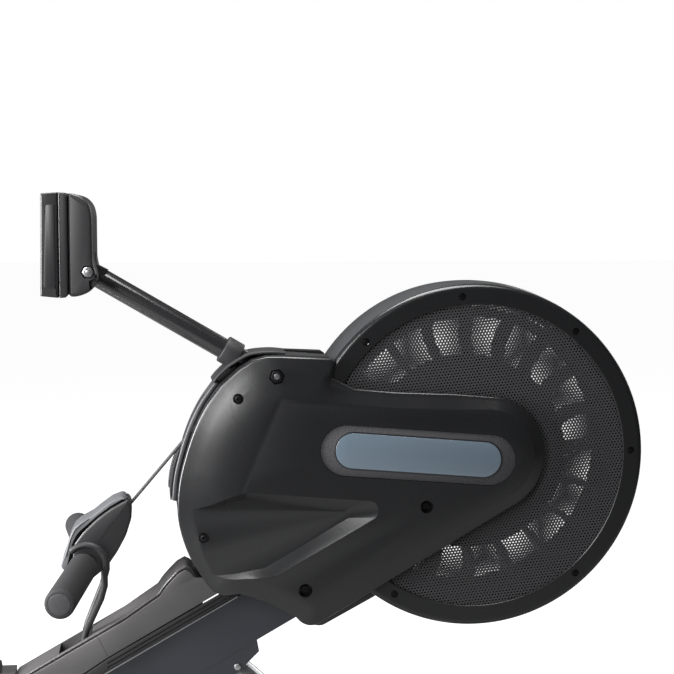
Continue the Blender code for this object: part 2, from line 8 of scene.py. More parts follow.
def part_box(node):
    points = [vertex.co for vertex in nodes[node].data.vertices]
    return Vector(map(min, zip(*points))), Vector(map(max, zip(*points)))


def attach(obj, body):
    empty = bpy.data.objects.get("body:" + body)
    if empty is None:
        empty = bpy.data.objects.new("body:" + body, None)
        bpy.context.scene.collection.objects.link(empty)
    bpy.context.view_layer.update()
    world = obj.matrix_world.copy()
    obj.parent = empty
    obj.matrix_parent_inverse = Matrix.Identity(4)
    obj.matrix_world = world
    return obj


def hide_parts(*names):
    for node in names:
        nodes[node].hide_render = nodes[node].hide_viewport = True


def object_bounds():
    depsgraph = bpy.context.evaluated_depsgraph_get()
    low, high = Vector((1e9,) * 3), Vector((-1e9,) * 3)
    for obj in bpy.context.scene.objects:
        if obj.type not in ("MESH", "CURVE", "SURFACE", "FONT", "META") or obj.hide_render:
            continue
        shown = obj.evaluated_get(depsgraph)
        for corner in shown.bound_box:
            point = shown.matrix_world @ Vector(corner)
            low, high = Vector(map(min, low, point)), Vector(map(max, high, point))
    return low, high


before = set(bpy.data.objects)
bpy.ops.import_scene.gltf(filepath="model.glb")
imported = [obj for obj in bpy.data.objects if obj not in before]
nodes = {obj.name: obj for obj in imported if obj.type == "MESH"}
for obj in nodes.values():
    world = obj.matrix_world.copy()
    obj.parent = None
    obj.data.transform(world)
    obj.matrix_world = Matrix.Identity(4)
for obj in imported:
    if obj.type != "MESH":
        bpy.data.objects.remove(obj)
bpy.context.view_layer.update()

# ---- Camera: a long lens at hip height, level with the fan wheel and a little behind it, looking
# slightly down along the machine's side, as a studio picture of the front half is taken.
hub = (Vector(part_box("fan_axle")[0]) + Vector(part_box("fan_axle")[1])) / 2
camera = bpy.data.objects.new("studio_camera", bpy.data.cameras.new("studio_camera"))
bpy.context.scene.collection.objects.link(camera)
camera.data.lens = 80.12
camera.data.sensor_width = 36.0
camera.data.clip_end = 60.0
camera.location = hub + Vector((-0.4932, -2.306, 0.3739))
yaw, pitch = math.radians(7.08), math.radians(-4.76)
sight = Vector((math.sin(yaw) * math.cos(pitch), math.cos(yaw) * math.cos(pitch), math.sin(pitch)))
camera.rotation_euler = sight.to_track_quat("-Z", "Y").to_euler()
bpy.context.scene.camera = camera

# ---- Pull cord: a braided 5 mm cord, straight from the handle's hub into the guide's slot. It is the
# stretch of the real cord that the handle carries out of the housing.


def wire(tree, source, output, target, entry):
    """Joins one node's output to another node's input."""
    tree.links.new(source.outputs[output], target.inputs[entry])


def socket_value(node, name, value):
    node.inputs[name].default_value = value


def woven_cord(name, colour, across, along):
    """Braided yarn: two crossing families of strands as fine bumps, with painted shade darkening the gaps
    between them.
    """
    made = bpy.data.materials.new(name)
    made.use_nodes = True
    tree = made.node_tree
    shader = tree.nodes["Principled BSDF"]
    socket_value(shader, "Roughness", 0.72)
    place = tree.nodes.new("ShaderNodeTexCoord")
    turn = tree.nodes.new("ShaderNodeMapping")
    turn.inputs["Rotation"].default_value = (0.0, across, 0.0)
    wire(tree, place, "Object", turn, "Vector")
    strands = []
    for direction in ("X", "Z"):
        wave = tree.nodes.new("ShaderNodeTexWave")
        wave.bands_direction = direction
        socket_value(wave, "Scale", along)
        socket_value(wave, "Distortion", 0.6)
        wire(tree, turn, "Vector", wave, "Vector")
        strands.append(wave.outputs["Fac"])
    weave = tree.nodes.new("ShaderNodeMath")
    weave.operation = "MULTIPLY"
    tree.links.new(strands[0], weave.inputs[0])
    tree.links.new(strands[1], weave.inputs[1])
    # painted shade: the weave's low points, between the strands, are darkened to 0.35 of the cord's colour
    tone = tree.nodes.new("ShaderNodeValToRGB")
    tone.color_ramp.elements[0].color = (*[part * 0.35 for part in colour], 1.0)
    tone.color_ramp.elements[1].color = (*colour, 1.0)
    wire(tree, weave, 0, tone, "Fac")
    wire(tree, tone, "Color", shader, "Base Color")
    bump = tree.nodes.new("ShaderNodeBump")
    socket_value(bump, "Distance", 0.0006)
    wire(tree, weave, 0, bump, "Height")
    wire(tree, bump, "Normal", shader, "Normal")
    return made


cord_mouth = hub + Vector((-0.4525, 0, 0.0145))
cord_eye = hub + Vector((-0.5285, 0, -0.0745))
pull = (cord_eye - cord_mouth).normalized()
cord_start = cord_eye + pull * 0.012
cord_end = cord_mouth - pull * 0.118
cord_steps = 22
cord_curve = bpy.data.curves.new("braided_cord", "CURVE")
cord_curve.dimensions = "3D"
cord_curve.bevel_depth = 0.0025
cord_curve.bevel_resolution = 4
cord_curve.use_fill_caps = True
cord_line = cord_curve.splines.new("POLY")
cord_line.points.add(cord_steps)
for i in range(cord_steps + 1):
    cord_line.points[i].co = (*cord_start.lerp(cord_end, i / cord_steps), 1.0)
cord = bpy.data.objects.new("braided_cord", cord_curve)
bpy.context.scene.collection.objects.link(cord)
cord.data.materials.append(woven_cord("cord_braid", (0.10, 0.10, 0.105), 0.70, 420.0))
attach(cord, "handle")
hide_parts("pull_cord")

# ---- Covers: each half of the housing is one moulding in black textured plastic, 4 mm thick. A face
# stands proud of a sloping shoulder, and the joint between the halves follows the outline.
COVER_FACE = 0.084
COVER_SHOULDER = 0.0755
COVER_SEAM = 0.0423
COVER_WALL = 0.004
DRUM_RADIUS = 0.265
RING_FACE = 0.066


def moulded(name, colour, roughness, grain=0.00006, scale=900.0, specular=0.5, patches=0.05):
    """Spark-textured moulded plastic: fine pimples, with roughness that drifts a little across the face."""
    made = bpy.data.materials.new(name)
    made.use_nodes = True
    tree = made.node_tree
    shader = tree.nodes["Principled BSDF"]
    socket_value(shader, "Specular IOR Level", specular)
    place = tree.nodes.new("ShaderNodeTexCoord")
    pimples = tree.nodes.new("ShaderNodeTexNoise")
    socket_value(pimples, "Scale", scale)
    socket_value(pimples, "Detail", 2.0)
    wire(tree, place, "Object", pimples, "Vector")
    drift = tree.nodes.new("ShaderNodeTexNoise")
    socket_value(drift, "Scale", 9.0)
    socket_value(drift, "Detail", 3.0)
    wire(tree, place, "Object", drift, "Vector")
    range_ = tree.nodes.new("ShaderNodeMapRange")
    socket_value(range_, "To Min", roughness - patches)
    socket_value(range_, "To Max", roughness + patches)
    wire(tree, drift, "Fac", range_, "Value")
    wire(tree, range_, "Result", shader, "Roughness")
    tone = tree.nodes.new("ShaderNodeValToRGB")
    tone.color_ramp.elements[0].position = 0.35
    tone.color_ramp.elements[0].color = (*[part * 0.85 for part in colour], 1.0)
    tone.color_ramp.elements[1].position = 0.65
    tone.color_ramp.elements[1].color = (*[part * 1.15 for part in colour], 1.0)
    wire(tree, pimples, "Fac", tone, "Fac")
    wire(tree, tone, "Color", shader, "Base Color")
    bump = tree.nodes.new("ShaderNodeBump")
    socket_value(bump, "Distance", grain)
    wire(tree, pimples, "Fac", bump, "Height")
    wire(tree, bump, "Normal", shader, "Normal")
    return made


def arc(centre, radius, start, end, count):
    """Points on a circle in X and Z, from one angle to another, in degrees."""
    points = []
    for i in range(count + 1):
        angle = math.radians(start + (end - start) * i / count)
        points.append((centre[0] + radius * math.cos(angle), centre[1] + radius * math.sin(angle)))
    return points


def settle(made, finish, body, sharp=32.0):
    """Merges doubles, turns every face outwards, shades the piece and lets it ride."""
    mesh = bmesh.new()
    mesh.from_mesh(made.data)
    bmesh.ops.remove_doubles(mesh, verts=mesh.verts, dist=0.00001)
    bmesh.ops.recalc_face_normals(mesh, faces=mesh.faces)
    mesh.to_mesh(made.data)
    mesh.free()
    made.data.shade_smooth()
    made.data.set_sharp_from_angle(angle=math.radians(sharp))
    made.data.materials.clear()
    made.data.materials.append(finish)
    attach(made, body)
    return made


def signed_area(outline):
    area = 0.0
    for (x0, z0), (x1, z1) in zip(outline, outline[1:] + outline[:1]):
        area += x0 * z1 - x1 * z0
    return area / 2


def rounded(corners, radius, steps=4):
    """The outline with each corner replaced by a smooth curve that starts up to radius away from it."""
    smooth = []
    for before, here, after in zip(corners[-1:] + corners[:-1], corners, corners[1:] + corners[:1]):
        a, b, c = Vector(before), Vector(here), Vector(after)
        reach_in = min(radius, (a - b).length * 0.48)
        reach_out = min(radius, (c - b).length * 0.48)
        start = b + (a - b).normalized() * reach_in
        end = b + (c - b).normalized() * reach_out
        for i in range(steps + 1):
            t = i / steps
            point = start * (1 - t) ** 2 + b * 2 * t * (1 - t) + end * t * t
            smooth.append((point.x, point.y))
    return smooth


def moved_in(outline, distance):
    """The outline moved inwards by a distance. It runs anticlockwise."""
    moved = []
    for before, here, after in zip(outline[-1:] + outline[:-1], outline, outline[1:] + outline[:1]):
        first = Vector((here[0] - before[0], here[1] - before[1])).normalized()
        second = Vector((after[0] - here[0], after[1] - here[1])).normalized()
        normal_a, normal_b = Vector((-first.y, first.x)), Vector((-second.y, second.x))
        middle = (normal_a + normal_b).normalized()
        reach = distance / max(middle.dot(normal_a), 0.35)
        moved.append((here[0] + middle.x * reach, here[1] + middle.y * reach))
    return moved


def solid(name, outline, y_low, y_high, bevel=0.0, segments=3, origin=None):
    """A plain mesh object: an outline in X and Z around the hub, extruded along Y, with rounded edges."""
    if signed_area(outline) < 0:
        outline = outline[::-1]
    centre = hub if origin is None else origin
    loops = [(outline, y_low), (outline, y_high)]
    if bevel:
        turns = [math.pi / 2 * i / segments for i in range(segments + 1)]
        shaped = [(moved_in(outline, bevel * (1 - math.sin(a))), bevel * (1 - math.cos(a))) for a in turns]
        loops = [(loop, y_low + depth) for loop, depth in shaped]
        loops += [(loop, y_high - depth) for loop, depth in shaped[::-1]]
    mesh = bmesh.new()
    rings = [[mesh.verts.new((x + centre.x, y + centre.y, z + centre.z)) for x, z in loop]
             for loop, y in loops]
    mesh.faces.new(rings[0])
    mesh.faces.new(rings[-1][::-1])
    for low, high in zip(rings, rings[1:]):
        for i in range(len(outline)):
            j = (i + 1) % len(outline)
            mesh.faces.new((low[i], high[i], high[j], low[j]))
    bmesh.ops.remove_doubles(mesh, verts=mesh.verts, dist=0.000002)
    bmesh.ops.recalc_face_normals(mesh, faces=mesh.faces)
    data = bpy.data.meshes.new(name)
    mesh.to_mesh(data)
    mesh.free()
    made = bpy.data.objects.new(name, data)
    bpy.context.scene.collection.objects.link(made)
    return made


def volume(mesh):
    """The volume that a closed mesh holds."""
    shape = bmesh.new()
    shape.from_mesh(mesh)
    held = shape.calc_volume()
    shape.free()
    return held


def carve(target, tools, operation="DIFFERENCE"):
    """Cuts the tools from the target, or joins them to it, for good, and removes them. Where finely
    rounded edges defeat the exact solver, the fast one does it."""
    for tool in tools:
        for solver in ("EXACT", "FAST"):
            change = target.modifiers.new("carve", "BOOLEAN")
            change.operation = operation
            change.object = tool
            change.solver = solver
            bpy.context.view_layer.update()
            graph = bpy.context.evaluated_depsgraph_get()
            result = bpy.data.meshes.new_from_object(target.evaluated_get(graph))
            target.modifiers.remove(change)
            if volume(result) > 0.4 * volume(target.data):
                break
        target.data = result
        bpy.data.objects.remove(tool)
    return target


def round_bar(name, centre, radius, y_low, y_high, steps=48, bevel=0.0):
    """A round plain mesh along Y, placed by its centre in X and Z from the hub."""
    return solid(name, arc(centre, radius, 0, 360 - 360 / steps, steps - 1), y_low, y_high, bevel)


# each pair is a point of the cover's edge, the point of the raised face's ridge beside it, and how soft
# the slope between them is
SHARP, SOFT = 0.0, 1.0
cover_profile = [
    ((-0.224, 0.125), (-0.226, 0.0855), SHARP),
    ((-0.2195, 0.150), (-0.240, 0.0870), SHARP),
    ((-0.2260, 0.1545), (-0.256, 0.0885), SHARP),
    ((-0.301, 0.158), (-0.299, 0.0960), SHARP),
    ((-0.322, 0.1575), (-0.3005, 0.0930), 0.3),
    ((-0.343, 0.152), (-0.302, 0.0890), 0.5),
    ((-0.365, 0.138), (-0.304, 0.0840), 0.7),
]


def through(points, steps):
    """A smooth line that passes through every point, with a number of steps between each two."""
    line = []
    ends = [points[0]] + points + [points[-1]]
    for p0, p1, p2, p3 in zip(ends, ends[1:], ends[2:], ends[3:]):
        a, b, c, d = Vector(p0), Vector(p1), Vector(p2), Vector(p3)
        for i in range(steps):
            t = i / steps
            point = (b * 2 + (c - a) * t + (a * 2 - b * 5 + c * 4 - d) * t * t
                     + (b * 3 - a - c * 3 + d) * t ** 3)
            line.append(tuple(point / 2))
    return line + [tuple(points[-1])]


left_edge = through(
    [(-0.390, 0.115), (-0.411, 0.086), (-0.426, 0.058), (-0.437, 0.030), (-0.446, 0.001), (-0.453, -0.028),
     (-0.4565, -0.060), (-0.4555, -0.090), (-0.448, -0.122), (-0.436, -0.152), (-0.419, -0.180),
     (-0.405, -0.199)],
    4,
)
for i, edge in enumerate(left_edge):
    t = i / (len(left_edge) - 1)
    if t < 0.55:
        ridge = Vector((-0.309, 0.073)).lerp(Vector((-0.358, -0.040)), t / 0.55)
    else:
        ridge = Vector((-0.358, -0.040)).lerp(Vector((-0.371, -0.158)), (t - 0.55) / 0.45)
    cover_profile.append((edge, tuple(ridge), SOFT))
cover_profile += [
    ((-0.389, -0.207), (-0.366, -0.168), 0.7),
    ((-0.364, -0.203), (-0.354, -0.173), SHARP),
    ((-0.327, -0.216), (-0.324, -0.186), SHARP),
    ((-0.280, -0.240), (-0.284, -0.209), SHARP),
]
lobe_edge, lobe_ridge = arc((-0.255, -0.229), 0.026, 225, 298, 8), arc((-0.252, -0.214), 0.011, 225, 298, 8)
cover_profile += [(edge, ridge, SHARP) for edge, ridge in zip(lobe_edge, lobe_ridge)]
nose_edge, nose_ridge = arc((0.017, 0.003), 0.090, -62, 87, 40), arc((0.017, 0.003), 0.0695, -62, 87, 40)
cover_profile += [(edge, ridge, SHARP) for edge, ridge in zip(nose_edge, nose_ridge)]
cover_profile += [
    ((-0.037, 0.098), (-0.041, 0.0725), SHARP),
    ((-0.127, 0.102), (-0.129, 0.0765), SHARP),
    ((-0.189, 0.108), (-0.192, 0.0830), SHARP),
]
cover_edge = [edge for edge, ridge, soft in cover_profile]
ridge_edge = [ridge for edge, ridge, soft in cover_profile]


def lofted(name, loops):
    """A closed mesh through loops of equally many points, each a list of (x, y, z) around the hub."""
    count = len(loops[0])
    points = [(x + hub.x, y, z + hub.z) for loop in loops for x, y, z in loop]
    faces = [tuple(range(count)), tuple(range(len(points) - 1, len(points) - count - 1, -1))]
    for level in range(len(loops) - 1):
        for i in range(count):
            j = (i + 1) % count
            start = level * count
            faces.append((start + i, start + i + count, start + j + count, start + j))
    mesh = bpy.data.meshes.new(name)
    mesh.from_pydata(points, [], faces)
    made = bpy.data.objects.new(name, mesh)
    bpy.context.scene.collection.objects.link(made)
    turn = bmesh.new()
    turn.from_mesh(mesh)
    bmesh.ops.recalc_face_normals(turn, faces=turn.faces)
    turn.to_mesh(mesh)
    turn.free()
    return made


def stadium(start, end, radius, steps=20):
    """A long round-ended outline about the line between two points."""
    lean = math.degrees(math.atan2(end[1] - start[1], end[0] - start[0]))
    return arc(end, radius, lean - 90, lean + 90, steps) + arc(start, radius, lean + 90, lean + 270, steps)


EDGE_ROUND = 0.0035
shoulder_in = moved_in(cover_edge, EDGE_ROUND)
cover_loops = [[(x, -COVER_SEAM, z) for x, z in cover_edge]]
for step in range(5):
    angle = math.radians(90 * step / 4)
    loop = []
    for (edge, ridge, soft), inner in zip(cover_profile, shoulder_in):
        depth = COVER_SHOULDER - 0.0095 * soft
        out = 1 - math.cos(angle)
        x = edge[0] + (inner[0] - edge[0]) * out
        z = edge[1] + (inner[1] - edge[1]) * out
        loop.append((x, -(depth - EDGE_ROUND + EDGE_ROUND * math.sin(angle)), z))
    cover_loops.append(loop)
for t in (0.18, 0.36, 0.54, 0.72, 0.86, 0.94):
    loop = []
    for (edge, ridge, soft), inner in zip(cover_profile, shoulder_in):
        depth = COVER_SHOULDER - 0.0095 * soft
        rise = soft * math.sin(t * math.pi / 2) + (1 - soft) * t
        x = inner[0] + (ridge[0] - inner[0]) * t
        z = inner[1] + (ridge[1] - inner[1]) * t
        loop.append((x, -(depth + (COVER_FACE - depth) * rise), z))
    cover_loops.append(loop)
ridge_in = moved_in(ridge_edge, 0.0016)
cover_loops.append([(x, 0.0005 - COVER_FACE, z) for x, z in ridge_edge])
cover_loops.append([(x, -COVER_FACE, z) for x, z in ridge_in])
near_cover = lofted("near_housing_cover", cover_loops)

# the hollow behind the face, the room for the cage, and the scoop in the lower left of the face
scoop_top = [(-0.470, -0.064), (-0.407, -0.059), (-0.352, -0.046), (-0.180, -0.0615)]
scoop_top += arc((-0.169, -0.0775), 0.0155, 75, -62, 8) + [(-0.309, -0.174), (-0.368, -0.179),
                                                           (-0.470, -0.186)]
scoop_floor = [(-0.470, -0.074), (-0.407, -0.070), (-0.357, -0.059), (-0.206, -0.0795)]
scoop_floor += arc((-0.2025, -0.0855), 0.0060, 75, -62, 8) + [(-0.326, -0.164), (-0.368, -0.171),
        (-0.470, -0.178)]
scoop = lofted("scoop", [
    [(x, -0.0850, z) for x, z in scoop_top],
    [(x, -0.0838, z) for x, z in scoop_top],
    [(x, -0.0725, z) for x, z in scoop_floor],
])
arm_space = [(-0.352, 0.052), (-0.352, -0.048), (-0.28, -0.050), (0.02, -0.050), (0.048, 0.0), (0.02, 0.050)]
hollows = [
    solid("hollow", moved_in(cover_edge, COVER_WALL), -0.0600, -0.0300),
    solid("arm_hollow", rounded(arm_space, 0.01), -0.0760, -0.0590),
    round_bar("cage_room", (0, 0), DRUM_RADIUS + 0.0029, -RING_FACE - 0.0003, 0.02, 160),
]
near_cover = carve(near_cover, hollows)
badge_start, badge_end = (-0.203, 0.0150), (0.020, -0.0040)
recesses = [
    solid("badge_recess", stadium(badge_start, badge_end, 0.0395), -0.090, -0.0815),
    scoop,
]
SCREW_RECESSES = (((-0.365, 0.095), 0.0080), ((-0.418, -0.115), 0.0080), ((-0.265, -0.198), 0.0105),
                  ((-0.079, -0.074), 0.0100))
for place, radius in SCREW_RECESSES:
    recesses.append(round_bar("recess", place, radius, -0.095, -0.0685, 28))
NUT_PLACE = (-0.307, 0.128)
recesses.append(solid("nut_recess", arc(NUT_PLACE, 0.0125, 12, 312, 5), -0.095, -0.0715))
near_cover = carve(near_cover, recesses)
cover_plastic = moulded("cover_plastic", (0.0062, 0.0064, 0.0070), 0.27, 0.00003, 1100.0, 0.5)


def mirrored_copy(made, name):
    """The same piece for the other side of the machine."""
    copy = made.copy()
    copy.data = made.data.copy()
    copy.name = name
    copy.data.name = name
    copy.data.transform(Matrix.Scale(-1, 4, (0, 1, 0)))
    copy.data.flip_normals()
    bpy.context.scene.collection.objects.link(copy)
    return copy


far_cover = mirrored_copy(near_cover, "far_housing_cover")
for made, node in ((near_cover, "near_cover"), (far_cover, "far_cover")):
    settle(made, cover_plastic, "frame", 24.0)
    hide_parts(node)


# ---- Name plates: a coarse-textured surround lies in each cover's long recess, with a slate-blue enamelled
# plate in a thin dark frame on it. The plate is left blank.
def enamel(name, colour):
    """Painted metal under clear lacquer, with a faint fleck."""
    made = moulded(name, colour, 0.22, 0.00001, 1500.0, 0.5, 0.02)
    socket_value(made.node_tree.nodes["Principled BSDF"], "Coat Weight", 0.5)
    socket_value(made.node_tree.nodes["Principled BSDF"], "Coat Roughness", 0.08)
    return made


def both_covers(made, name, finish, sharp=32.0):
    """A near piece and its mirror, without a CAD node of their own."""
    other = mirrored_copy(made, name + "_far")
    made.name = name + "_near"
    settle(made, finish, "frame", sharp)
    settle(other, finish, "frame", sharp)


surround = solid("plate_surround", stadium(badge_start, badge_end, 0.0388), -0.0824, -0.0813, 0.0004, 2)
both_covers(surround, "plate_surround",
            moulded("coarse_plastic", (0.022, 0.022, 0.024), 0.6, 0.0006, 420.0, 0.4))
plate_start, plate_end = (-0.192, 0.0145), (0.009, -0.0030)
frame_bar = solid("plate_frame", stadium(plate_start, plate_end, 0.0290), -0.0831, -0.0825, 0.0003, 2)
both_covers(frame_bar, "plate_frame", moulded("frame_plastic", (0.008, 0.008, 0.009), 0.3))
plate = solid("name_plate", stadium(plate_start, plate_end, 0.0268), -0.0839, -0.0832, 0.0004, 3)
both_covers(plate, "name_plate", enamel("slate_enamel", (0.080, 0.106, 0.132)))

# ---- Cover screws: black socket screws sunk deep in the covers, and a bright nut in a six-sided pocket.


def metal(name, colour, roughness, brushed=0.0, along="X"):
    """Bright metal, with fine brush lines where the real one is brushed or drawn."""
    made = bpy.data.materials.new(name)
    made.use_nodes = True
    tree = made.node_tree
    shader = tree.nodes["Principled BSDF"]
    socket_value(shader, "Metallic", 1.0)
    place = tree.nodes.new("ShaderNodeTexCoord")
    stretch = tree.nodes.new("ShaderNodeMapping")
    stretch.inputs["Scale"].default_value = {
        "X": (3.0, 700.0, 700.0), "Y": (700.0, 3.0, 700.0), "Z": (700.0, 700.0, 3.0)}[along]
    lines = tree.nodes.new("ShaderNodeTexNoise")
    socket_value(lines, "Scale", 1.0)
    socket_value(lines, "Detail", 4.0)
    wire(tree, place, "Object", stretch, "Vector")
    wire(tree, stretch, "Vector", lines, "Vector")
    tone = tree.nodes.new("ShaderNodeValToRGB")
    tone.color_ramp.elements[0].color = (*[part * 0.8 for part in colour], 1.0)
    tone.color_ramp.elements[1].color = (*colour, 1.0)
    wire(tree, lines, "Fac", tone, "Fac")
    wire(tree, tone, "Color", shader, "Base Color")
    spread = tree.nodes.new("ShaderNodeMapRange")
    socket_value(spread, "To Min", roughness - 0.06)
    socket_value(spread, "To Max", roughness + 0.06)
    wire(tree, lines, "Fac", spread, "Value")
    wire(tree, spread, "Result", shader, "Roughness")
    bump = tree.nodes.new("ShaderNodeBump")
    socket_value(bump, "Strength", 0.3 + brushed)
    socket_value(bump, "Distance", 0.00002)
    wire(tree, lines, "Fac", bump, "Height")
    wire(tree, bump, "Normal", shader, "Normal")
    return made


def socket_screw(radius, height):
    """A round screw head with a six-sided socket, its seat at Y = 0 and its top towards -Y."""
    head = solid("screw_head", arc((0, 0), radius, 0, 345, 23), -height, 0.0, radius * 0.22, 2,
                 Vector((0, 0, 0)))
    key = solid("screw_key", arc((0, 0), radius * 0.5, 0, 300, 5), -height - 0.01, -height * 0.4, 0, 1,
                Vector((0, 0, 0)))
    return carve(head, [key])


black_screw = metal("black_screw", (0.030, 0.030, 0.033), 0.40)
zinc = metal("zinc", (0.42, 0.42, 0.44), 0.32)
cover_seat = -0.0705
for (x, z), radius in SCREW_RECESSES:
    head = socket_screw(radius * 0.62, 0.0045)
    head.data.transform(Matrix.Translation((hub.x + x, cover_seat, hub.z + z)))
    both_covers(head, "cover_screw_%d" % round(-x * 1000), black_screw)
nut = solid("corner_nut", arc(NUT_PLACE, 0.0100, 12, 312, 5), -0.0775, -0.0716, 0.0007, 2)
nut = carve(nut, [round_bar("nut_bore", NUT_PLACE, 0.0052, -0.09, -0.06, 24)])
both_covers(nut, "corner_nut", black_screw)
both_covers(round_bar("corner_bolt", NUT_PLACE, 0.0049, -0.0765, -0.0716, 24, 0.0008), "corner_bolt", zinc)


# ---- Fan cage: a pressed wall, widest at its middle, with a moulded ring on each side. Each ring has a
# flat face, a rounded outer edge and six screws, and holds a sheet of perforated steel behind its lip.
GRILLE_RADIUS = 0.2412
DRUM_BULGE = 0.0025


def turned(name, profile, steps=192):
    """A closed profile of (radius, y) points, turned about the wheel's axle."""
    points = []
    faces = []
    count = len(profile)
    for i in range(steps):
        angle = math.tau * i / steps
        for radius, y in profile:
            points.append((hub.x + radius * math.cos(angle), y, hub.z + radius * math.sin(angle)))
    for i in range(steps):
        for k in range(count):
            here, after = i * count, ((i + 1) % steps) * count
            following = (k + 1) % count
            faces.append((here + k, here + following, after + following, after + k))
    mesh = bpy.data.meshes.new(name)
    mesh.from_pydata(points, [], faces)
    made = bpy.data.objects.new(name, mesh)
    bpy.context.scene.collection.objects.link(made)
    return made


def both_sides(made, name, finish, body, replaced="", sharp=32.0):
    """Settles a near piece and its mirror on the far side, for the CAD nodes named after it."""
    other = mirrored_copy(made, name + "_far")
    for one, side in ((made, "near"), (other, "far")):
        settle(one, finish, body, sharp)
        if replaced:
            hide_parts(replaced + "_" + side)
    return made, other


ring_profile = [(0.2340, -0.0640), (0.2340, -0.0654), (0.2348, -0.0660), (0.2560, -0.0660)]
for step in range(7):
    angle = math.radians(90 * step / 6)
    ring_profile.append((0.2575 + 0.0075 * math.sin(angle), -(0.0585 + 0.0075 * math.cos(angle))))
ring_profile += [(GRILLE_RADIUS + 0.0003, -0.0585), (GRILLE_RADIUS + 0.0003, -0.0624), (0.2340, -0.0624)]
ring = turned("cage_ring_near", ring_profile)
RING_SCREWS = (95.2, 50.8, 1.0, -49.5, -120.7, 133.8)
SCREW_CIRCLE = 0.2465
wells = []
for angle in RING_SCREWS:
    place = (SCREW_CIRCLE * math.cos(math.radians(angle)), SCREW_CIRCLE * math.sin(math.radians(angle)))
    wells.append(round_bar("screw_well", place, 0.0056, -0.070, -0.0610, 28))
ring = carve(ring, wells)
ring_plastic = moulded("ring_plastic", (0.0065, 0.0067, 0.0072), 0.26, 0.00006, 800.0, 0.45)
both_sides(ring, "cage_ring", ring_plastic, "frame", "drum_ring", 30.0)

wall_profile = [(0.2600, -0.0582), (0.2644, -0.0582)]
for step in range(1, 8):
    y = -0.0582 + 0.0582 * step / 8
    wall_profile.append((DRUM_RADIUS + DRUM_BULGE * math.sin(math.pi / 2 * step / 8), y))
wall_profile.append((DRUM_RADIUS + DRUM_BULGE + 0.0001, -0.0008))
wall_profile += [(DRUM_RADIUS + DRUM_BULGE - 0.0012, -0.0005), (DRUM_RADIUS + DRUM_BULGE - 0.0012, 0.0005)]
wall_profile += [(radius, -y) for radius, y in reversed(wall_profile[2:-2])] + [(0.2644, 0.0582),
        (0.2600, 0.0582)]
wall = turned("cage_wall", wall_profile, 256)
settle(wall, moulded("wall_plastic", (0.030, 0.031, 0.033), 0.30, 0.00004, 900.0, 0.6), "frame")
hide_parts("drum_wall")


def perforated_sheet(name):
    """One hexagonal cell of the sheet with its hole, open at the sides where the next cell joins it."""
    reach = PITCH / math.sqrt(3)
    hole = HOLE / 2
    points = []
    for radius, y in ((reach, 0.0), (hole, 0.0), (hole, SHEET), (reach, SHEET)):
        for i in range(6):
            angle = math.radians(60 * i + 30)
            points.append((radius * math.cos(angle), y, radius * math.sin(angle)))
    faces = []
    for level in range(3):
        for i in range(6):
            j = (i + 1) % 6
            faces.append((level * 6 + i, level * 6 + j, level * 6 + 6 + j, level * 6 + 6 + i))
    mesh = bpy.data.meshes.new(name)
    mesh.from_pydata(points, [], faces)
    made = bpy.data.objects.new(name, mesh)
    bpy.context.scene.collection.objects.link(made)
    return made


def tree_of(name, inputs):
    """A geometry tree with a geometry input, the named inputs, and a geometry output."""
    tree = bpy.data.node_groups.new(name, "GeometryNodeTree")
    tree.interface.new_socket("Geometry", in_out="INPUT", socket_type="NodeSocketGeometry")
    for label, kind in inputs:
        tree.interface.new_socket(label, in_out="INPUT", socket_type=kind)
    tree.interface.new_socket("Geometry", in_out="OUTPUT", socket_type="NodeSocketGeometry")
    return tree, tree.nodes.new("NodeGroupInput"), tree.nodes.new("NodeGroupOutput")


def set_inputs(made, tree, values):
    """Puts the tree on the piece, with its named inputs set by their identifiers."""
    change = made.modifiers.new(tree.name, "NODES")
    change.node_group = tree
    for item in tree.interface.items_tree:
        if item.in_out == "INPUT" and item.name in values:
            change[item.identifier] = values[item.name]
    return change


def baked(made, name):
    """The evaluated piece as a plain mesh object, with the source removed."""
    bpy.context.view_layer.update()
    graph = bpy.context.evaluated_depsgraph_get()
    mesh = bpy.data.meshes.new_from_object(made.evaluated_get(graph))
    bpy.data.objects.remove(made)
    made = bpy.data.objects.new(name, mesh)
    bpy.context.scene.collection.objects.link(made)
    return made


def scatter_tree(name):
    """Copies of one part on the points of a mesh, each turned to the point's own angle about Y."""
    tree, entry, exit_ = tree_of(name, (("Part", "NodeSocketObject"), ("Part Scale", "NodeSocketFloat"),
                                        ("Finish", "NodeSocketMaterial")))
    part = tree.nodes.new("GeometryNodeObjectInfo")
    spread = tree.nodes.new("GeometryNodeInstanceOnPoints")
    angle = tree.nodes.new("GeometryNodeInputNamedAttribute")
    angle.data_type = "FLOAT_VECTOR"
    angle.inputs["Name"].default_value = "turn"
    real = tree.nodes.new("GeometryNodeRealizeInstances")
    finish = tree.nodes.new("GeometryNodeSetMaterial")
    wire(tree, entry, "Geometry", spread, "Points")
    wire(tree, entry, "Part", part, "Object")
    wire(tree, part, "Geometry", spread, "Instance")
    wire(tree, angle, "Attribute", spread, "Rotation")
    wire(tree, entry, "Part Scale", spread, "Scale")
    wire(tree, spread, "Instances", real, "Geometry")
    wire(tree, real, "Geometry", finish, "Geometry")
    wire(tree, entry, "Finish", finish, "Material")
    wire(tree, finish, "Geometry", exit_, "Geometry")
    return tree


scatter = scatter_tree("copies_on_points")


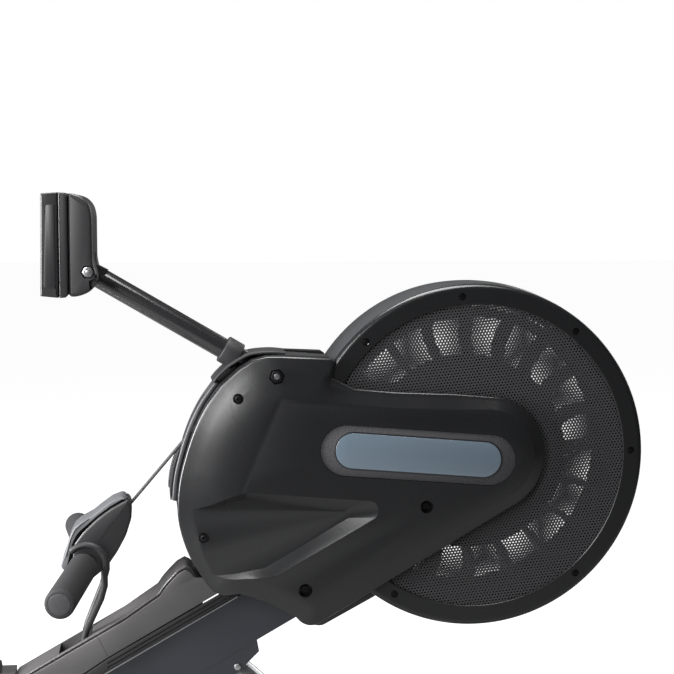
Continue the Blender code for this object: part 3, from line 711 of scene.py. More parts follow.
def copies(name, part, places, turns, finish):
    """One mesh of a part repeated at each place, by the geometry tree. The part is used up."""
    mesh = bpy.data.meshes.new(name)
    mesh.from_pydata([tuple(place) for place in places], [], [])
    turn = mesh.attributes.new("turn", "FLOAT_VECTOR", "POINT")
    for item, value in zip(turn.data, turns):
        item.vector = value
    made = bpy.data.objects.new(name + "_points", mesh)
    bpy.context.scene.collection.objects.link(made)
    set_inputs(made, scatter, {"Part": part, "Part Scale": 1.0, "Finish": finish})
    made = baked(made, name)
    bpy.data.objects.remove(part)
    return made


def inside(point, outline):
    """Whether a point in X and Z lies inside an outline."""
    found = False
    x, z = point
    for (x0, z0), (x1, z1) in zip(outline, outline[1:] + outline[:1]):
        if (z0 > z) != (z1 > z) and x < x0 + (z - z0) / (z1 - z0) * (x1 - x0):
            found = not found
    return found


PITCH = 0.005
HOLE = 0.0032
SHEET = 0.0012
ROW_LEAN = math.radians(5.6)
under_cover = moved_in(cover_edge, 0.010)
rows = int(GRILLE_RADIUS / (PITCH * math.sqrt(3) / 2)) + 1
places = []
for row in range(-rows, rows + 1):
    for column in range(-rows, rows + 1):
        across = (column + 0.5 * (row % 2)) * PITCH
        up = row * PITCH * math.sqrt(3) / 2
        x = across * math.cos(ROW_LEAN) - up * math.sin(ROW_LEAN)
        z = across * math.sin(ROW_LEAN) + up * math.cos(ROW_LEAN)
        if math.hypot(x, z) < 0.2375 and not inside((x, z), under_cover):
            places.append((hub.x + x, -0.0622, hub.z + z))
sheet_paint = moulded("sheet_paint", (0.026, 0.026, 0.028), 0.45, 0.00003, 1200.0, 0.4)
grille = copies(
    "perforated_sheet_near", perforated_sheet("sheet_cell"), places,
    [(0.0, -ROW_LEAN, 0.0)] * len(places), sheet_paint,
)


def close_rim(made, low, high):
    """Joins the front and the back of the sheet round its open rim."""
    mesh = bmesh.new()
    mesh.from_mesh(made.data)
    bmesh.ops.remove_doubles(mesh, verts=mesh.verts, dist=0.0001)
    behind = {}
    for vertex in mesh.verts:
        if vertex.co.y > (low + high) / 2:
            behind[(round(vertex.co.x, 5), round(vertex.co.z, 5))] = vertex
    rim = [edge for edge in mesh.edges if edge.is_boundary]
    for edge in rim:
        first, second = edge.verts
        if first.co.y > (low + high) / 2 or second.co.y > (low + high) / 2:
            continue
        back = [behind.get((round(vertex.co.x, 5), round(vertex.co.z, 5))) for vertex in (first, second)]
        if None not in back:
            mesh.faces.new((first, second, back[1], back[0]))
    mesh.to_mesh(made.data)
    mesh.free()


close_rim(grille, -0.0622, -0.0610)
both_sides(grille, "perforated_sheet", sheet_paint, "frame", "grille", 20.0)


# ---- Ring screws: six black socket screws hold each ring and its sheet to the cage.
ring_places = [
    (hub.x + SCREW_CIRCLE * math.cos(math.radians(angle)), -0.0611,
     hub.z + SCREW_CIRCLE * math.sin(math.radians(angle)))
    for angle in RING_SCREWS
]
ring_turns = [(0.0, math.radians(angle * 2), 0.0) for angle in RING_SCREWS]
ring_screws = copies("ring_screws_near", socket_screw(0.0046, 0.0030), ring_places, ring_turns, black_screw)
both_covers(ring_screws, "ring_screws", black_screw)

# ---- Middle strip of the housing: a curved moulding between the covers, open for the post and the cord.
# A soft boot closes the gap round the post.


def band(name, line, thickness, y_low, y_high, bevel=0.0, segments=2):
    """A strip that follows a line in X and Z, its thickness laid to the line's right-hand side."""
    inner = []
    for i, (x, z) in enumerate(line):
        along = Vector(line[min(i + 1, len(line) - 1)]) - Vector(line[max(i - 1, 0)])
        along.normalize()
        inner.append((x - along.y * thickness, z + along.x * thickness))
    return solid(name, line + inner[::-1], y_low, y_high, bevel, segments)


def rod(name, start, end, radius, steps=32, bevel=0.0):
    """A round straight bar between two points in space."""
    along = Vector(end) - Vector(start)
    made = solid(name, arc((0, 0), radius, 0, 360 - 360 / steps, steps - 1), 0.0, along.length, bevel, 3,
                 Vector((0, 0, 0)))
    made.data.transform(Vector((0, 1, 0)).rotation_difference(along).to_matrix().to_4x4())
    made.data.transform(Matrix.Translation(start))
    return made


strip_line = [(-0.2195, 0.1500), (-0.260, 0.1535), (-0.301, 0.1565), (-0.322, 0.1560), (-0.342, 0.1505),
              (-0.364, 0.1370)]
strip_line += [(x + 0.0012, z) for x, z in left_edge]
post_top = hub + Vector((-0.571, 0, 0.275))
post_foot = hub + Vector((-0.2935, 0, 0.1115))
strip = band("housing_strip", strip_line, 0.004, -0.0417, 0.0417, 0.0012, 2)
strip = carve(strip, [
    rod("post_hole", post_top, post_foot, 0.0185),
    solid("cord_way", rounded([(-0.49, -0.030), (-0.405, -0.030), (-0.405, 0.055), (-0.49, 0.055)], 0.01),
          -0.0105, 0.0105),
    round_bar("strip_cage_room", (0, 0), DRUM_RADIUS + 0.0031, -0.0700, 0.0700, 160),
])
strip_plastic = moulded("strip_plastic", (0.022, 0.022, 0.024), 0.36, 0.00006, 900.0, 0.5)
settle(strip, strip_plastic, "frame")
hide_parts("cover_spine")
boot_line = [(-0.2900, 0.1610), (-0.310, 0.1628), (-0.337, 0.1612), (-0.354, 0.1560), (-0.378, 0.1415),
             (-0.394, 0.1270)]
boot_line += [(-0.402, 0.1170)]
boot = band("post_boot", through(boot_line, 4), 0.0042, -0.0360, 0.0360, 0.0018, 3)
boot = carve(boot, [rod("boot_hole", post_top, post_foot, 0.0168)])
collar = rod("boot_collar", post_top.lerp(post_foot, 0.675), post_top.lerp(post_foot, 0.760),
             0.0215, 40, 0.002)
collar = carve(collar, [rod("collar_bore", post_top, post_foot, 0.0166, 40)])
boot_rubber = moulded("boot_rubber", (0.012, 0.012, 0.013), 0.55, 0.00012, 600.0, 0.35)
settle(boot, boot_rubber, "frame")
settle(collar, boot_rubber, "frame")

# ---- Cord guide: a raised grey-black moulding clipped over the strip, with a long rounded slot for the
# cord and, under it, a ribbed bumper that the handle's nose may touch.
guide_line = [(x - 0.0004, z) for x, z in left_edge if z > -0.068]
guide_outer = [(x - 0.0068, z + 0.0015) for x, z in guide_line]
guide = solid("guide_body", guide_outer + guide_line[::-1], -0.0255, 0.0255, 0.0022, 3)
guide = carve(guide, [
    solid("guide_slot", rounded([(-0.50, 0.022), (-0.40, 0.022), (-0.40, 0.096), (-0.50, 0.082)], 0.006),
          -0.0075, 0.0075, 0.004, 3),
])
guide_plastic = moulded("guide_plastic", (0.035, 0.035, 0.038), 0.42, 0.00008, 800.0, 0.45)
settle(guide, guide_plastic, "frame")
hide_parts("cord_guide")
bumper_inner = [(x - 0.0074, z + 0.0015) for x, z in guide_line if z < 0.012]
bumper_count = len(bumper_inner)
bumper_outer = []
for i, (x, z) in enumerate(bumper_inner):
    swell = math.sin(math.pi * (i + 0.5) / bumper_count) ** 0.6
    bumper_outer.append((x - 0.0012 - 0.0034 * swell, z))
bumper = solid("guide_bumper", bumper_outer + bumper_inner[::-1], -0.0190, 0.0190, 0.0012, 2)
settle(bumper, moulded("bumper_rubber", (0.016, 0.016, 0.017), 0.6, 0.0001, 600.0, 0.35), "frame")
rib_part = solid("rib",
                 rounded([(-0.0016, -0.0011), (0.0016, -0.0011), (0.0016, 0.0011), (-0.0016, 0.0011)],
                         0.0008, 2),
                 -0.0150, 0.0150, 0.0005, 1, Vector((0, 0, 0)))
rib_places = []
rib_line = [(x, z) for x, z in bumper_outer if -0.052 < z < 0.004]
for (x0, z0), (x1, z1) in zip(rib_line, rib_line[1:]):
    for t in (0.0, 0.5):
        rib_places.append((hub.x + x0 + (x1 - x0) * t - 0.0006, 0.0, hub.z + z0 + (z1 - z0) * t))
ribs = copies("bumper_ribs", rib_part, rib_places, [(0.0, 0.0, 0.0)] * len(rib_places), guide_plastic)
settle(ribs, guide_plastic, "frame")

# ---- Belly pan: a plain tray that closes the housing's underside between the two covers.
pan_outline = [(-0.2620, -0.2472), (-0.2500, -0.2632), (-0.2360, -0.2655), (-0.1280, -0.2080),
               (-0.1230, -0.1900),
               (-0.2050, -0.2158)]
pan = solid("belly_tray", rounded(pan_outline, 0.006), -0.0412, 0.0412, 0.0015, 2)
pan = carve(pan, [round_bar("tray_cage_room", (0, 0), DRUM_RADIUS + 0.0030, -0.07, 0.07, 160)])
settle(pan, cover_plastic, "frame")
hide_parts("belly_pan")

# ---- Console post: a 32 mm steel tube in gloss black, from the frame up to the console's hinge lug.
gloss_paint = moulded("gloss_paint", (0.012, 0.012, 0.013), 0.24, 0.00001, 500.0, 0.5, 0.04)
socket_value(gloss_paint.node_tree.nodes["Principled BSDF"], "Coat Weight", 0.35)
socket_value(gloss_paint.node_tree.nodes["Principled BSDF"], "Coat Roughness", 0.15)
hinge = (Vector(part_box("console_bolt")[0]) + Vector(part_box("console_bolt")[1])) / 2
post = rod("post_tube", post_top, post_foot, 0.0160, 64, 0.0006)
lug_outline = arc((0, 0), 0.012, 60, 250, 20) + [(0.0135, -0.0225), (0.0270, -0.0005)]
lug = solid("post_lug", lug_outline, -0.0150, 0.0150, 0.001, 2, hinge)
post = carve(post, [lug], "UNION")
post = carve(post, [
    rod("lug_hole", hinge + Vector((0, -0.03, 0)), hinge + Vector((0, 0.03, 0)), 0.0043, 24),
])
settle(post, gloss_paint, "frame")
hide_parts("console_post")

# ---- Console: two satin mouldings. The front one carries the display and the buttons and has a raised
# flank on each side. The rear one is rounded at the top and swells round the hinge at the bottom.
CONSOLE_HALF = 0.105


def at_hinge(points):
    """Points given from the wheel's hub, as measured from the console's hinge."""
    return [(x + hub.x - hinge.x, z + hub.z - hinge.z) for x, z in points]


console_plastic = moulded("console_plastic", (0.011, 0.011, 0.012), 0.38, 0.00003, 1100.0, 0.45)
bezel_outline = at_hinge([(-0.6520, 0.2525), (-0.6256, 0.2498), (-0.6256, 0.4028), (-0.6500, 0.4008)])
bezel = solid("console_front", rounded(bezel_outline, 0.0022, 3), -CONSOLE_HALF, CONSOLE_HALF,
              0.0030, 3, hinge)
window_low, window_high = Vector(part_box("console_screen")[0]), Vector(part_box("console_screen")[1])
window_space = solid("window_space",
                     rounded([(-0.02, -0.0480), (0.00352, -0.0480), (0.00352, 0.0480), (-0.02, 0.0480)],
                     0.0004), -0.0820, 0.0820, 0.0, 1, (window_low + window_high) / 2)
wells = []
for word in ("left", "middle", "right"):
    low, high = (Vector(corner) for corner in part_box("button_" + word))
    middle = (low + high) / 2
    wells.append(rod("well_" + word, middle - Vector((0.02, 0, 0)), middle + Vector((0.0062, 0, 0)),
                     0.0079, 36))
bezel = carve(bezel, [window_space] + wells)
settle(bezel, console_plastic, "console")
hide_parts("console_bezel")
band_outline = at_hinge([(-0.6250, 0.2498), (-0.6160, 0.2502), (-0.6120, 0.2540), (-0.6120, 0.3980),
                         (-0.6160, 0.4022),
                         (-0.6250, 0.4026)])
middle_band = solid("console_band", rounded(band_outline, 0.0015, 2), -CONSOLE_HALF, CONSOLE_HALF,
                    0.0026, 3, hinge)
shell_outline = at_hinge([
    (-0.6115, 0.2510), (-0.5980, 0.2515), (-0.5830, 0.2570), (-0.5725, 0.2665), (-0.5700, 0.2800),
    (-0.5745, 0.2930),
    (-0.5765, 0.3050), (-0.5765, 0.3700), (-0.5800, 0.3850), (-0.5900, 0.3965), (-0.6030, 0.4008),
    (-0.6115, 0.4014)])
shell = solid("console_rear", rounded(shell_outline, 0.007, 4), -0.1025, 0.1025, 0.0045, 4, hinge)
shell = carve(shell, [
    middle_band,
], "UNION")
notch = solid("hinge_notch",
              rounded([(-0.019, -0.06), (0.05, -0.06), (0.05, 0.026), (-0.019, 0.026)], 0.004),
              -0.0180, 0.0180, 0.0, 1, hinge)
cuts = [notch, rod("bolt_way", hinge - Vector((0, 0.13, 0)), hinge + Vector((0, 0.13, 0)), 0.0044, 24)]
for side in (-1, 1):
    low, high = sorted((side * 0.0945, side * 0.13))
    cuts.append(solid("nut_pocket", arc((0, 0), 0.0105, 0, 300, 5), low, high, 0, 1, hinge))
    for start, end in ((-78, -44), (-38, -8), (-2, 26)):
        wedge = arc((0, 0), 0.0175, start, end, 5) + arc((0, 0), 0.0125, end, start, 5)
        if start == -78:
            wedge = arc((0, 0), 0.0255, -84, -50, 5) + arc((0, 0), 0.0125, -50, -84, 5)
        cuts.append(solid("fan_recess", wedge, low, high, 0, 1, hinge))
shell = carve(shell, cuts)
settle(shell, console_plastic, "console")
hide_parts("console_housing")
flank_outline = at_hinge([(-0.6425, 0.3850), (-0.6300, 0.3850), (-0.6300, 0.2640), (-0.6470, 0.2640)])
for side, word in ((-1, "near"), (1, "far")):
    low, high = sorted((side * 0.1045, side * 0.1062))
    flank = solid("console_flank_" + word, rounded(flank_outline, 0.004, 3), low, high, 0.0007, 2, hinge)
    settle(flank, console_plastic, "console")
    low, high = sorted((side * 0.0950, side * 0.0995))
    nut = solid("hinge_nut_" + word, arc((0, 0), 0.0085, 0, 300, 5), low, high, 0.0006, 2, hinge)
    nut = carve(nut, [
        rod("nut_way", hinge - Vector((0, 0.13, 0)), hinge + Vector((0, 0.13, 0)), 0.0043, 24),
    ])
    settle(nut, zinc, "console")
bolt = rod("hinge_bolt", hinge - Vector((0, 0.1005, 0)), hinge + Vector((0, 0.1005, 0)), 0.0040, 28, 0.0006)
settle(bolt, zinc, "console")
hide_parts("console_bolt")


def display_glass(name):
    """A dark display window, with faint rows of unlit segments under its gloss."""
    made = bpy.data.materials.new(name)
    made.use_nodes = True
    tree = made.node_tree
    shader = tree.nodes["Principled BSDF"]
    socket_value(shader, "Roughness", 0.08)
    socket_value(shader, "Coat Weight", 0.6)
    place = tree.nodes.new("ShaderNodeTexCoord")
    cells = tree.nodes.new("ShaderNodeTexBrick")
    socket_value(cells, "Scale", 60.0)
    socket_value(cells, "Color1", (0.030, 0.040, 0.036, 1.0))
    socket_value(cells, "Color2", (0.034, 0.044, 0.040, 1.0))
    socket_value(cells, "Mortar", (0.018, 0.022, 0.020, 1.0))
    turn = tree.nodes.new("ShaderNodeMapping")
    turn.inputs["Rotation"].default_value = (math.pi / 2, 0.0, math.pi / 2)
    wire(tree, place, "Object", turn, "Vector")
    wire(tree, turn, "Vector", cells, "Vector")
    wire(tree, cells, "Color", shader, "Base Color")
    return made


nodes["console_screen"].data.materials.clear()
nodes["console_screen"].data.materials.append(display_glass("display_glass"))
button_rubber = moulded("button_rubber", (0.055, 0.056, 0.060), 0.6, 0.00005, 900.0, 0.35)
for word in ("left", "middle", "right"):
    low, high = (Vector(corner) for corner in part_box("button_" + word))
    middle = (low + high) / 2
    cap = rod("button_cap_" + word, (high.x, middle.y, middle.z), (low.x, middle.y, middle.z),
              0.0074, 40, 0.0012)
    settle(cap, button_rubber, "button_" + word)
    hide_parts("button_" + word)


# ---- Handle: a hub of two black mouldings with a lighter back plate towards the rower, clamped on a bent
# steel bar. Each end of the bar has a round foam grip with a smooth plug in its end.
handle_plastic = moulded("handle_plastic", (0.010, 0.010, 0.011), 0.40, 0.00004, 1100.0, 0.45)
# The back plate's lighter grey is partly its own tone and partly a painted highlight, for the light from
# above and behind.
grey_and_highlight_plate_plastic = moulded("grey_and_highlight_plate_plastic", (0.070, 0.071, 0.075), 0.45, 0.00004, 1100.0, 0.4)
grip_foam = moulded("grip_foam", (0.015, 0.015, 0.016), 0.75, 0.00030, 380.0, 0.3)
plug_plastic = moulded("plug_plastic", (0.030, 0.030, 0.032), 0.45, 0.00015, 500.0, 0.4)
handle_at = hub + Vector((-0.593, 0, -0.155))
cord_eye = hub + Vector((-0.5285, 0, -0.0745))
cord_mouth = hub + Vector((-0.4525, 0, 0.0145))
pull = (cord_eye - cord_mouth).normalized()


def tube_along(name, route, radius, steps=28, ends=0.0):
    """A round bar swept along points in space, with its ends rounded over by up to a radius."""
    rings = [(Vector(point), radius) for point in route]
    if ends:
        capped = []
        for end, following in ((rings[0], rings[1]), (rings[-1], rings[-2])):
            inward = (following[0] - end[0]).normalized()
            turn_ = [(end[0] + inward * ends * (1 - math.sin(math.radians(a))),
                      radius - ends * (1 - math.cos(math.radians(a)))) for a in (90, 67, 45, 22, 0)]
            capped.append(turn_)
        rings = capped[0] + rings[1:-1] + capped[1][::-1]
    points = []
    faces = []
    side = Vector((0, 0, 1)) if abs((rings[-1][0] - rings[0][0]).normalized().z) < 0.9 else Vector((0, 1, 0))
    for i, (place, size) in enumerate(rings):
        along = (rings[min(i + 1, len(rings) - 1)][0] - rings[max(i - 1, 0)][0]).normalized()
        side = (side - along * side.dot(along)).normalized()
        other = along.cross(side)
        for k in range(steps):
            angle = math.tau * k / steps
            points.append(place + (side * math.cos(angle) + other * math.sin(angle)) * size)
    for i in range(len(rings) - 1):
        for k in range(steps):
            j = (k + 1) % steps
            faces.append((i * steps + k, i * steps + j, (i + 1) * steps + j, (i + 1) * steps + k))
    faces.append(tuple(range(steps))[::-1])
    faces.append(tuple((len(rings) - 1) * steps + k for k in range(steps)))
    mesh = bpy.data.meshes.new(name)
    mesh.from_pydata([tuple(point) for point in points], [], faces)
    made = bpy.data.objects.new(name, mesh)
    bpy.context.scene.collection.objects.link(made)
    return made


shell_outline = [
    (-0.5375, -0.0640), (-0.5315, -0.0620), (-0.5262, -0.0690), (-0.5256, -0.0900), (-0.5345, -0.1180),
    (-0.5480, -0.1430), (-0.5640, -0.1660), (-0.5900, -0.1865), (-0.6080, -0.1870), (-0.6180, -0.1700),
    (-0.6135, -0.1290), (-0.5990, -0.1100), (-0.5755, -0.0882), (-0.5560, -0.0740)]
shell = solid("handle_shell_near", rounded(shell_outline, 0.006, 4), -0.0298, -0.0004, 0.0040, 3)
seam_line = band("seam_cut",
                 [(-0.5270, -0.0600), (-0.5461, -0.0860), (-0.5607, -0.1045), (-0.5760, -0.1262)], 0.0007,
                 -0.04, -0.0292)
shell = carve(shell, [
    round_bar("shell_tunnel", (-0.593, -0.155), 0.0103, -0.05, 0.05, 32),
    rod("shell_cord_way", cord_eye + pull * 0.016, cord_eye - pull * 0.05, 0.0034, 20),
    seam_line,
])
both_sides(shell, "handle_shell_near", handle_plastic, "handle", "handle_shell")
back_outline = [
    (-0.5330, -0.0615), (-0.5400, -0.0585), (-0.5549, -0.0640), (-0.5712, -0.0757), (-0.5849, -0.0865),
    (-0.6019, -0.0955), (-0.6127, -0.1042), (-0.6201, -0.1200), (-0.6257, -0.1401), (-0.6315, -0.1560),
    (-0.6335, -0.1640), (-0.6285, -0.1700), (-0.6215, -0.1690), (-0.6190, -0.1500), (-0.6140, -0.1286),
    (-0.5994, -0.1096), (-0.5759, -0.0877), (-0.5564, -0.0735), (-0.5378, -0.0635)]
back_plate = solid("handle_back_plate", rounded(back_outline, 0.0035, 3), -0.0280, 0.0280, 0.0022, 3)
grooves = []
for shift in (0.0, 0.0052):
    line = [(-0.5850 - shift, -0.0950 + shift * 0.9), (-0.6010 - shift, -0.1062 + shift * 0.7),
            (-0.6110 - shift, -0.1180 + shift * 0.3), (-0.6165 - shift, -0.1350), (-0.6200 - shift, -0.1480)]
    for low, high in ((-0.04, -0.0262), (0.0262, 0.04)):
        grooves.append(band("plate_groove", through(line, 4), 0.0016, low, high))
back_plate = carve(back_plate, grooves)
settle(back_plate, grey_and_highlight_plate_plastic, "handle")
ends = [(-0.0222, -0.215, -0.0038), (-0.0136, -0.140, -0.0020), (-0.0055, -0.075, 0.0)]
bar_points = ends + [(0, -0.032, 0), (0, 0, 0), (0, 0.032, 0)] + [(x, -y, z) for x, y, z in reversed(ends)]
bar = tube_along("handle_steel_bar", [handle_at + Vector(point) for point in bar_points], 0.0099, 32, 0.001)
settle(bar, metal("bar_paint", (0.030, 0.030, 0.032), 0.3, 0.0, "Y"), "handle")
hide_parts("handle_bar")
for side, word in ((-1, "near"), (1, "far")):
    start = handle_at + Vector((-0.0045, side * 0.0682, 0))
    end = handle_at + Vector((-0.0285, side * 0.2655, -0.005))
    grip = tube_along("grip_foam_" + word, [start.lerp(end, i / 12) for i in range(13)], 0.0214, 64, 0.0045)
    settle(grip, grip_foam, "handle")
    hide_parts("grip_" + word)
    plug = rod("grip_plug_" + word, end - (end - start).normalized() * 0.001,
               end + (end - start).normalized() * 0.0006,
               0.0150, 48, 0.0004)
    settle(plug, plug_plastic, "handle")

# ---- Hooks: two rubber-dipped steel rods that rise through a slot in the beam's cover and curl over the
# grips' inner ends. Both are clamped in one black barrel under the slot.
hook_rubber = moulded("hook_rubber", (0.013, 0.013, 0.014), 0.5, 0.00008, 700.0, 0.4)
for side, word in ((-1, "near"), (1, "far")):
    foot = [(-0.6038, side * 0.018, -0.3015), (-0.601, side * 0.019, -0.284), (-0.596, side * 0.021, -0.264),
            (-0.585, side * 0.033, -0.238), (-0.573, side * 0.046, -0.210), (-0.567, side * 0.0525, -0.188)]
    bend = [(x, side * 0.054, z) for x, z in arc((-0.5945, -0.1555), 0.0300, -24, 140, 28)]
    hook = tube_along("hook_rod_" + word, [hub + Vector(point) for point in foot + bend], 0.0052, 24, 0.004)
    settle(hook, hook_rubber, "frame", 60.0)
    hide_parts("handle_hook_" + word)
barrel = rod("hook_barrel", hub + Vector((-0.6032, -0.0262, -0.2985)),
             hub + Vector((-0.6032, 0.0262, -0.2985)), 0.0085,
             40, 0.001)
settle(barrel, gloss_paint, "frame")

# ---- Beam: a dark blue-grey painted steel tube at the beam's slope, with the rail's bracket, the leg's
# bracket and the post's socket welded to it. Its top has a light satin moulding with a hump, and a panel
# of the same satin plastic covers each flank above a pair of dark grooves.
BEAM_SLOPE = math.radians(29.3)
BEAM_TOP = -0.011


def beam_line(x, above):
    """The height from the hub, at this X, of a line parallel to the beam's top."""
    return (BEAM_TOP + above + math.sin(BEAM_SLOPE) * x) / math.cos(BEAM_SLOPE)


def along_x(name, outline, x_low, x_high, bevel=0.0, segments=2):
    """An outline in Y and Z, extruded along X, in world metres."""
    made = solid(name, [(-y, z) for y, z in outline], x_low, x_high, bevel, segments, Vector((0, 0, 0)))
    made.data.transform(Matrix.Rotation(-math.pi / 2, 4, "Z"))
    return made


def tinted(node, finish):
    """A CAD node whose shape is right as it is: it keeps its mesh and gets a finish."""
    nodes[node].data.materials.clear()
    nodes[node].data.materials.append(finish)
    for polygon in nodes[node].data.polygons:
        polygon.material_index = 0


beam_paint = moulded("beam_paint", (0.013, 0.0145, 0.020), 0.36, 0.00004, 1100.0, 0.5)
socket_value(beam_paint.node_tree.nodes["Principled BSDF"], "Coat Weight", 0.2)
tinted("main_beam", beam_paint)
satin = moulded("satin_plastic", (0.062, 0.060, 0.060), 0.30, 0.00004, 1100.0, 0.5)
# Dark plastic for the trim's real grooves and for the beam's strips of painted shade.
groove_and_shade_plastic = moulded("groove_and_shade_plastic", (0.012, 0.012, 0.013), 0.5, 0.00006, 900.0, 0.4)
panel_edge = [
    (-0.7030, -0.3398), (-0.5370, -0.2466), (-0.5010, -0.2220), (-0.4845, -0.2110), (-0.4770, -0.1995),
    (-0.4660, -0.1870), (-0.4555, -0.1765), (-0.4445, -0.1705), (-0.4370, -0.1745), (-0.4315, -0.1830),
    (-0.4130, -0.1850)]
raised = moved_in([(-0.703, -0.9), (-0.413, -0.9)] + panel_edge[::-1], -0.0042)[::-1][:9]
raised[0] = (-0.7065, raised[0][1])
cover_top = raised + [(-0.4280, -0.1830), (-0.4185, -0.1995), (-0.4185, beam_line(-0.4185, 0.0015)),
                      (-0.6975, beam_line(-0.6975, 0.0015))]
top_cover = solid("beam_top_cover", rounded(cover_top, 0.0045, 4), -0.0347, 0.0347, 0.0045, 4)
top_cover = carve(top_cover, [
    solid("hook_slot_cut",
          rounded([(-0.6385, -0.330), (-0.5870, -0.330), (-0.5870, -0.20), (-0.6385, -0.20)], 0.003),
          -0.0280, 0.0280, 0.003, 3),
])
for low, high in ((-0.05, -0.0335), (0.0335, 0.05)):
    screw_hole = solid("cover_oval", stadium((-0.5310, -0.2322), (-0.5250, -0.2288), 0.0022), low, high)
    top_cover = carve(top_cover, [screw_hole])
settle(top_cover, satin, "frame")
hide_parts("beam_cover")
panel_low = [(-0.3790, beam_line(-0.3790, 0.0390)), (-0.3720, beam_line(-0.3720, 0.0225)),
             (-0.5640, beam_line(-0.5640, 0.0225)),
             (-0.7030, beam_line(-0.7030, 0.0120))]
panel = solid("beam_side_panel", rounded(panel_edge + panel_low, 0.0030, 3), -0.0408, -0.0357, 0.0011, 2)
seam = band("panel_seam", [(-0.5820, -0.2655), (-0.5611, -0.3075)], 0.0008, -0.05, -0.0398)
panel = carve(panel, [seam])
both_sides(panel, "beam_side_panel", satin, "frame", "beam_panel")
# A dark trim with two grooves between each panel and the tube. Its dark colour is partly painted shade, for
# the shadow gap where the cover sits over the tube.
trim_outline = [(-0.3510, beam_line(-0.3510, 0.0195)), (-0.3510, beam_line(-0.3510, 0.0045)),
                (-0.5650, beam_line(-0.5650, 0.0045)), (-0.7020, beam_line(-0.7020, -0.0030)),
                (-0.7020, beam_line(-0.7020, 0.0105)), (-0.5640, beam_line(-0.5640, 0.0210))]
trim = solid("beam_trim", trim_outline, -0.0400, -0.0358, 0.0008, 2)
grooves = []
for above in (0.0100, 0.0158):
    line = [(-0.34, beam_line(-0.34, above)), (-0.5650, beam_line(-0.5650, above))]
    grooves.append(band("trim_groove", line, 0.0022, -0.05, -0.0380))
trim = carve(trim, grooves)
both_covers(trim, "beam_trim", groove_and_shade_plastic)
# A thin black strip along each panel's top edge is painted shade. It stands in for the shadow in the gap
# under the top cover's side.
shade_strip_line = [(x, z + 0.0016) for x, z in panel_edge[:9]]
shade_strip = band("beam_reveal", shade_strip_line, 0.0015, -0.0385, -0.0352)
both_covers(shade_strip, "beam_reveal", groove_and_shade_plastic)
# A thin bright zinc strip along each side of the beam's top edge is a painted highlight. It stands in for
# the light caught by the tube's rounded edge.
painted_highlight_strip = solid("beam_edge_strip",
                   [(-0.365, beam_line(-0.365, 0.0012)), (-0.365, beam_line(-0.365, -0.0010)),
                   (-0.702, beam_line(-0.702, -0.0010)), (-0.702, beam_line(-0.702, 0.0012))], -0.0302,
                   -0.0290, 0.0003, 2)
both_covers(painted_highlight_strip, "beam_edge_strip", zinc)

# ---- Front leg: a silver-painted tube from the beam's bracket to a cross foot, with a bright bolt through
# the bracket. The foot carries two rubber wheels and, like the rear one, has a rubber pad at each end.
silver = metal("silver_paint", (0.52, 0.53, 0.54), 0.38, 0.1, "Y")
tinted("front_leg", silver)
leg_bolt = round_bar("leg_bolt", (-0.366, -0.328), 0.0052, -0.0335, -0.0297, 28, 0.001)
both_covers(leg_bolt, "leg_bolt", zinc)
rear_paint = moulded("rear_paint", (0.014, 0.014, 0.016), 0.32, 0.00004, 900.0, 0.5)
tinted("rear_leg", rear_paint)
pad_rubber = moulded("pad_rubber", (0.010, 0.010, 0.011), 0.8, 0.0003, 300.0, 0.3)
for word in ("front_pad_near", "front_pad_far", "rear_pad_near", "rear_pad_far"):
    tinted(word, pad_rubber)

# ---- Fan: a bladed aluminium wheel with a dark outer rim and hub, on its steel axle, with the pulley
# that the cord's belt drives. The blades come from one blade repeated by the geometry tree.
# The blades' aluminium is tinted dark. This is painted shade, for the dim inside of the closed cage.
shade_darkened_fan_metal = metal("shade_darkened_fan_metal", (0.10, 0.10, 0.105), 0.42, 0.0, "Y")
dark_metal = metal("dark_metal", (0.045, 0.045, 0.048), 0.5)
FAN_BLADES = 20
blade_line = through([(0.145, 0.0), (0.165, 0.007), (0.190, 0.009), (0.214, 0.005)], 4)
blade = solid("fan_blade", blade_line + [(x, z - 0.0090) for x, z in blade_line[::-1]], -0.0290, 0.0290,
              0.0, 1,
              Vector((0, 0, 0)))
blades = copies("fan_blades", blade, [tuple(hub)] * FAN_BLADES,
                [(0.0, math.tau * i / FAN_BLADES, 0.0) for i in range(FAN_BLADES)], shade_darkened_fan_metal)
settle(blades, shade_darkened_fan_metal, "fan")
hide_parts("fan_wheel")
rim = turned("fan_rim",
             [(0.2120, -0.0295), (0.2250, -0.0295), (0.2255, -0.0290), (0.2255, 0.0290), (0.2250, 0.0295),
              (0.2120, 0.0295), (0.2120, 0.0275), (0.2225, 0.0270), (0.2225, -0.0270),
              (0.2120, -0.0275)])
settle(rim, dark_metal, "fan")
hub_disc = turned("fan_hub", [(0.0104, -0.0290), (0.0300, -0.0290), (0.0320, -0.0200), (0.1430, -0.0160),
                              (0.1500, -0.0290), (0.1500, 0.0290), (0.1430, 0.0160), (0.0320, 0.0200),
                              (0.0300, 0.0290), (0.0104, 0.0290)])
settle(hub_disc, dark_metal, "fan")
steel_bright = metal("steel_bright", (0.50, 0.50, 0.52), 0.3, 0.0, "Y")
cast = metal("cast_aluminium", (0.40, 0.40, 0.41), 0.48)
for word in ("fan_axle", "footrest_bar"):
    tinted(word, steel_bright)
for word in ("drive_pulley", "cord_pulley"):
    tinted(word, cast)
for word in ("axle_arm_near", "axle_arm_far"):
    tinted(word, rear_paint)

